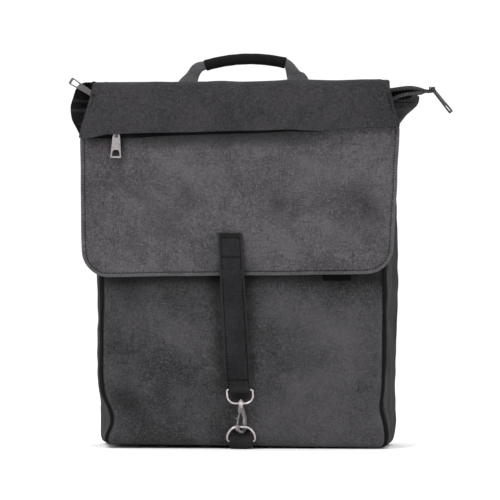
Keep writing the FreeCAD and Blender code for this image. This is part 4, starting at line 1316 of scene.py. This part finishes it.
tab_low, tab_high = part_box("ring_tab")
wrap("ring_tab_web", [(-54.5, 3.6), (-61, 2.0), (-66, 2.2), (-69.6, 4.6), (-70.9, 9.0), (-69.5, 12.2),
                      (-66, 13.6), (-63, 14.0), (-58.0, 14.6)],
     tab_low.x / MM, tab_high.x / MM, FOLD_THICK, "bag", "ring_tab")
for side in ("left", "right"):
    tab_low, tab_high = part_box(f"strap_tab_{side}")
    wrap(f"strap_tab_web_{side}", [(57.6, 392), (57.6, 384), (58.4, 378.6), (61, 376.4), (64, 376.3),
                                   (67.4, 375), (68.4, 372), (67.2, 368.8), (64, 367.6),
                                   (60.6, 368.8), (58.2, 371.2), (57.0, 376)],
         tab_low.x / MM, tab_high.x / MM, HEAVY_PLY, "bag", f"strap_tab_{side}", (58.6, 388))
    tab_low, tab_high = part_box(f"strap_fold_{side}")
    wrap(f"strap_fold_web_{side}", [(62.3, 318), (62.1, 330), (61.8, 338), (60.6, 343), (60.0, 346),
                                    (61.2, 349), (64, 350), (66.8, 349), (68.0, 346),
                                    (67.2, 343), (66.2, 338), (65.9, 328), (65.8, 322)],
         tab_low.x / MM, tab_high.x / MM, FOLD_THICK, "shoulder_strap", f"strap_fold_{side}", (66.8, 331))


# ---- pieces inside the bag ----
QUILT = 48.0             # height of one bulge of a padded wall


def tray(name, half, front, rear, low, high, thick, bulge, material, count=90):
    """Cloth wall in a U shape, sewn to what is behind it."""
    plan = [(-half, rear, -1, 0), (-half, (front + rear) / 2, -1, 0), (-half + 0.9, front + 1.6, -0.7, -0.7)]
    plan += [(x, front, 0, -1) for x in spread(-half + 3, half - 3, count)]
    plan += [(half - 0.9, front + 1.6, 0.7, -0.7), (half, (front + rear) / 2, 1, 0), (half, rear, 1, 0)]
    rows = []
    for z in spread(high, low, 60):
        row = []
        for x, y, nx, ny in plan:
            swell = bulge * abs(math.sin(math.pi * (z - low) / QUILT)) ** 0.6
            swell *= smooth(half, half - 14, abs(x)) * abs(ny)
            swell += 0.5 * wobble(x, z, 30, 121)
            row.append((x + nx * swell * 0.3, y + ny * swell * 0.8 + bulge, z))
        rows.append(row)
    obj = grid(name, rows)
    finish_mesh(obj, material, thick=thick)
    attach(obj, "bag")
    rim = [(x, y + bulge + thick * 0.4, high) for x, y, nx, ny in plan]
    binding = []
    for i, p in enumerate(rim):
        before, after = Vector(rim[max(i - 1, 0)]), Vector(rim[min(i + 1, len(rim) - 1)])
        way = (after - before).normalized()
        binding.append((p, thick * 0.62, 2.4, way.cross(Vector(UP)), Vector(UP)))
    edge = tube(name + "_binding", binding, 0.7, ring=12)
    finish_mesh(edge, TAPE)
    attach(edge, "bag")
    return obj


low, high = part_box("laptop_sleeve")
sleeve = tray("laptop_sleeve_pad", 138.5, low.y / MM, high.y / MM, low.z / MM + 1, high.z / MM - 2, 3.6,
              1.2, LINING)
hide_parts("laptop_sleeve")
low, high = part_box("inner_pocket")
pocket = tray("inner_pocket_cloth", 98.5, low.y / MM, high.y / MM, low.z / MM + 1, high.z / MM - 2, 1.2,
              0.5, GUSSET, 70)
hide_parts("inner_pocket")


# ---- zip pullers ----
PULLER_LENGTH, PULLER_THICK, PULLER_EDGE = 34.0, 1.9, 0.5
OPEN_CELLS = (1, 5, 6, 7)        # runs between stations where the puller's middle is cut out


def puller(name, pivot, along, face, length, body, node, puller_material, broad=1.0):
    """Cast puller: a slot round the slider's bar, a tapering plate and an arched window near its end."""
    grow = length / PULLER_LENGTH
    stations = [(-0.75, 2.9, 1.6), (0.75, 3.8, 1.6), (5.0, 4.3, 1.6), (6.0, 4.5, 2.0), (14, 4.9, 2.4),
                (22.5, 5.5, 2.2),
                (24.0, 5.6, 3.2), (25.4, 5.7, 3.8), (31.4, 6.2, 4.2), (33.0, 6.0, 3.8), (34.0, 4.8, 3.2)]
    x, z = Vector(along).normalized(), Vector(face).normalized()
    y = z.cross(x)
    points, faces = [], []
    for t, w, hole in stations:
        t = t * grow if t > 1 else t
        for u in (-w, -hole, hole, w):
            points.append(tuple(Vector(pivot) + x * t + y * (u * broad)))
    for i in range(len(stations) - 1):
        for j in range(3):
            if j == 1 and i in OPEN_CELLS:
                continue
            faces.append((i * 4 + j, i * 4 + j + 1, (i + 1) * 4 + j + 1, (i + 1) * 4 + j))
    obj = mesh_object(name, points, faces)
    solid = obj.modifiers.new("thick", "SOLIDIFY")
    solid.thickness = PULLER_THICK * MM
    solid.offset = 0.0
    bevel = obj.modifiers.new("soft", "BEVEL")
    bevel.width = PULLER_EDGE * MM
    bevel.segments = 3
    bevel.limit_method = "ANGLE"
    bake(obj)
    finish_mesh(obj, puller_material)
    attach(obj, body)
    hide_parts(node)


def pivot_of(joint):
    """Place of a joint's axis in millimetres."""
    found = [j for j in frame["joints"] if j["name"] == joint][0]
    return tuple(c / MM for c in found["pos_m"])


# Painted shade: the left and right pullers take darker copies of the nickel, as they face away from the
# light.
puller("pocket_puller_cast", pivot_of("pocket_puller_swing"), (-0.03, 0, -1), FRONT, 27.0,
       "pocket_puller", "flap_puller", PALE)
puller("left_puller_cast", pivot_of("left_puller_swing"), (-0.85, 0, 0.53), FRONT, PULLER_LENGTH,
       "left_puller", "top_puller_left", NICKEL_SHADED, 0.66)
puller("right_puller_cast", pivot_of("right_puller_swing"), (0.62, 0, -0.78), (0.745, -0.28, 0.60),
       PULLER_LENGTH, "right_puller", "top_puller_right", NICKEL_DEEP_SHADED)

# The right slider takes the nickel's deep painted-shade copy.
low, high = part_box("top_slider_right")
stations = []
for share, tall in ((0.0, 0.55), (0.08, 0.85), (0.3, 1.0), (0.6, 0.95), (0.85, 0.75), (1.0, 0.4)):
    x = low.x + (high.x - low.x) * share
    half_high = (pivot_of("right_puller_swing")[2] - 1.3 - low.z / MM) / 2
    centre = (x / MM, (low.y + high.y) / 2 / MM, low.z / MM + half_high)
    half_wide = (high.y - low.y) / 2 / MM * tall
    stations.append((centre, half_wide, half_high * tall, Vector(BACK), Vector(UP)))
slider_core = tube("right_slider_core", stations, 0.6, ring=20)
finish_mesh(slider_core, NICKEL_DEEP_SHADED)
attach(slider_core, "right_slider")
bar_x, bar_y, bar_z = pivot_of("right_puller_swing")
stations = [((bar_x + off, bar_y, bar_z - 0.8), 1.3, 1.9 * tall, Vector(BACK), Vector(UP))
            for off, tall in ((-3.0, 0.5), (-2.0, 0.9), (0.0, 1.0), (2.0, 0.9), (3.0, 0.5))]
slider_bail = tube("right_slider_bail", stations, 0.7, ring=16)
finish_mesh(slider_bail, NICKEL_DEEP_SHADED)
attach(slider_bail, "right_slider")

# ---- CAD nodes that stay ----
for node in ("snap_loop", "closure_ring", "shoulder_ring_left", "shoulder_ring_right"):
    paint(node, NICKEL)
for node in ("snap_hook", "snap_gate", "gate_pin"):
    paint(node, HOOK)
# Painted shade: the sliders take the darker copies of the nickel.
for node in ("flap_slider", "top_slider_left"):
    paint(node, NICKEL_SHADED)
paint("top_slider_right", NICKEL_DEEP_SHADED)
paint("base_board", BOARD)

# ---- floor, light, camera ----
floor_material, _, shader = new_material("floor_paper", 0.9)
shader.inputs["Base Color"].default_value = (0.97, 0.97, 0.97, 1)
floor_mesh = bpy.data.meshes.new("floor")
FLOOR_HALF, FLOOR_Z = 6, -0.0005
corners = [(x * FLOOR_HALF, y * FLOOR_HALF, FLOOR_Z) for x, y in ((-1, -1), (1, -1), (1, 1), (-1, 1))]
floor_mesh.from_pydata(corners, [], [(0, 1, 2, 3)])
floor = bpy.data.objects.new("floor", floor_mesh)
floor.data.materials.append(floor_material)
bpy.context.scene.collection.objects.link(floor)

world = bpy.data.worlds.new("studio")
bpy.context.scene.world = world
world.use_nodes = True
world.node_tree.nodes["Background"].inputs[0].default_value = (1, 1, 1, 1)
world.node_tree.nodes["Background"].inputs[1].default_value = 1.06


def area_light(name, place, aim, size, power):
    """Soft rectangular light aimed at a point, in metres."""
    light = bpy.data.lights.new(name, "AREA")
    light.size = size
    light.energy = power
    obj = bpy.data.objects.new(name, light)
    obj.location = place
    obj.rotation_euler = (Vector(aim) - Vector(place)).to_track_quat("-Z", "Y").to_euler()
    bpy.context.scene.collection.objects.link(obj)


area_light("key", (-0.9, -1.5, 1.5), (0, 0, 0.2), 0.9, 24)
area_light("fill", (1.3, -1.4, 0.7), (0, 0, 0.2), 1.2, 7)
area_light("top", (0.1, 0.3, 1.8), (0, 0, 0.3), 1.0, 8)
bpy.context.scene.view_settings.view_transform = "Standard"

AIM = Vector((0.008, -0.03, 0.2208))
AZIMUTH, ELEVATION, DISTANCE = 3.0, 1.4, 6.5
SENSOR_MM, SEEN_WIDTH = 36.0, 0.560
camera = bpy.data.cameras.new("camera")
camera.sensor_width = SENSOR_MM
camera.lens = SENSOR_MM * DISTANCE / SEEN_WIDTH
camera_object = bpy.data.objects.new("camera", camera)
a, e = math.radians(AZIMUTH), math.radians(ELEVATION)
way = Vector((math.sin(a) * math.cos(e), -math.cos(a) * math.cos(e), math.sin(e)))
camera_object.location = AIM + way * DISTANCE
camera_object.rotation_euler = (-way).to_track_quat("-Z", "Y").to_euler()
bpy.context.scene.collection.objects.link(camera_object)
bpy.context.scene.camera = camera_object
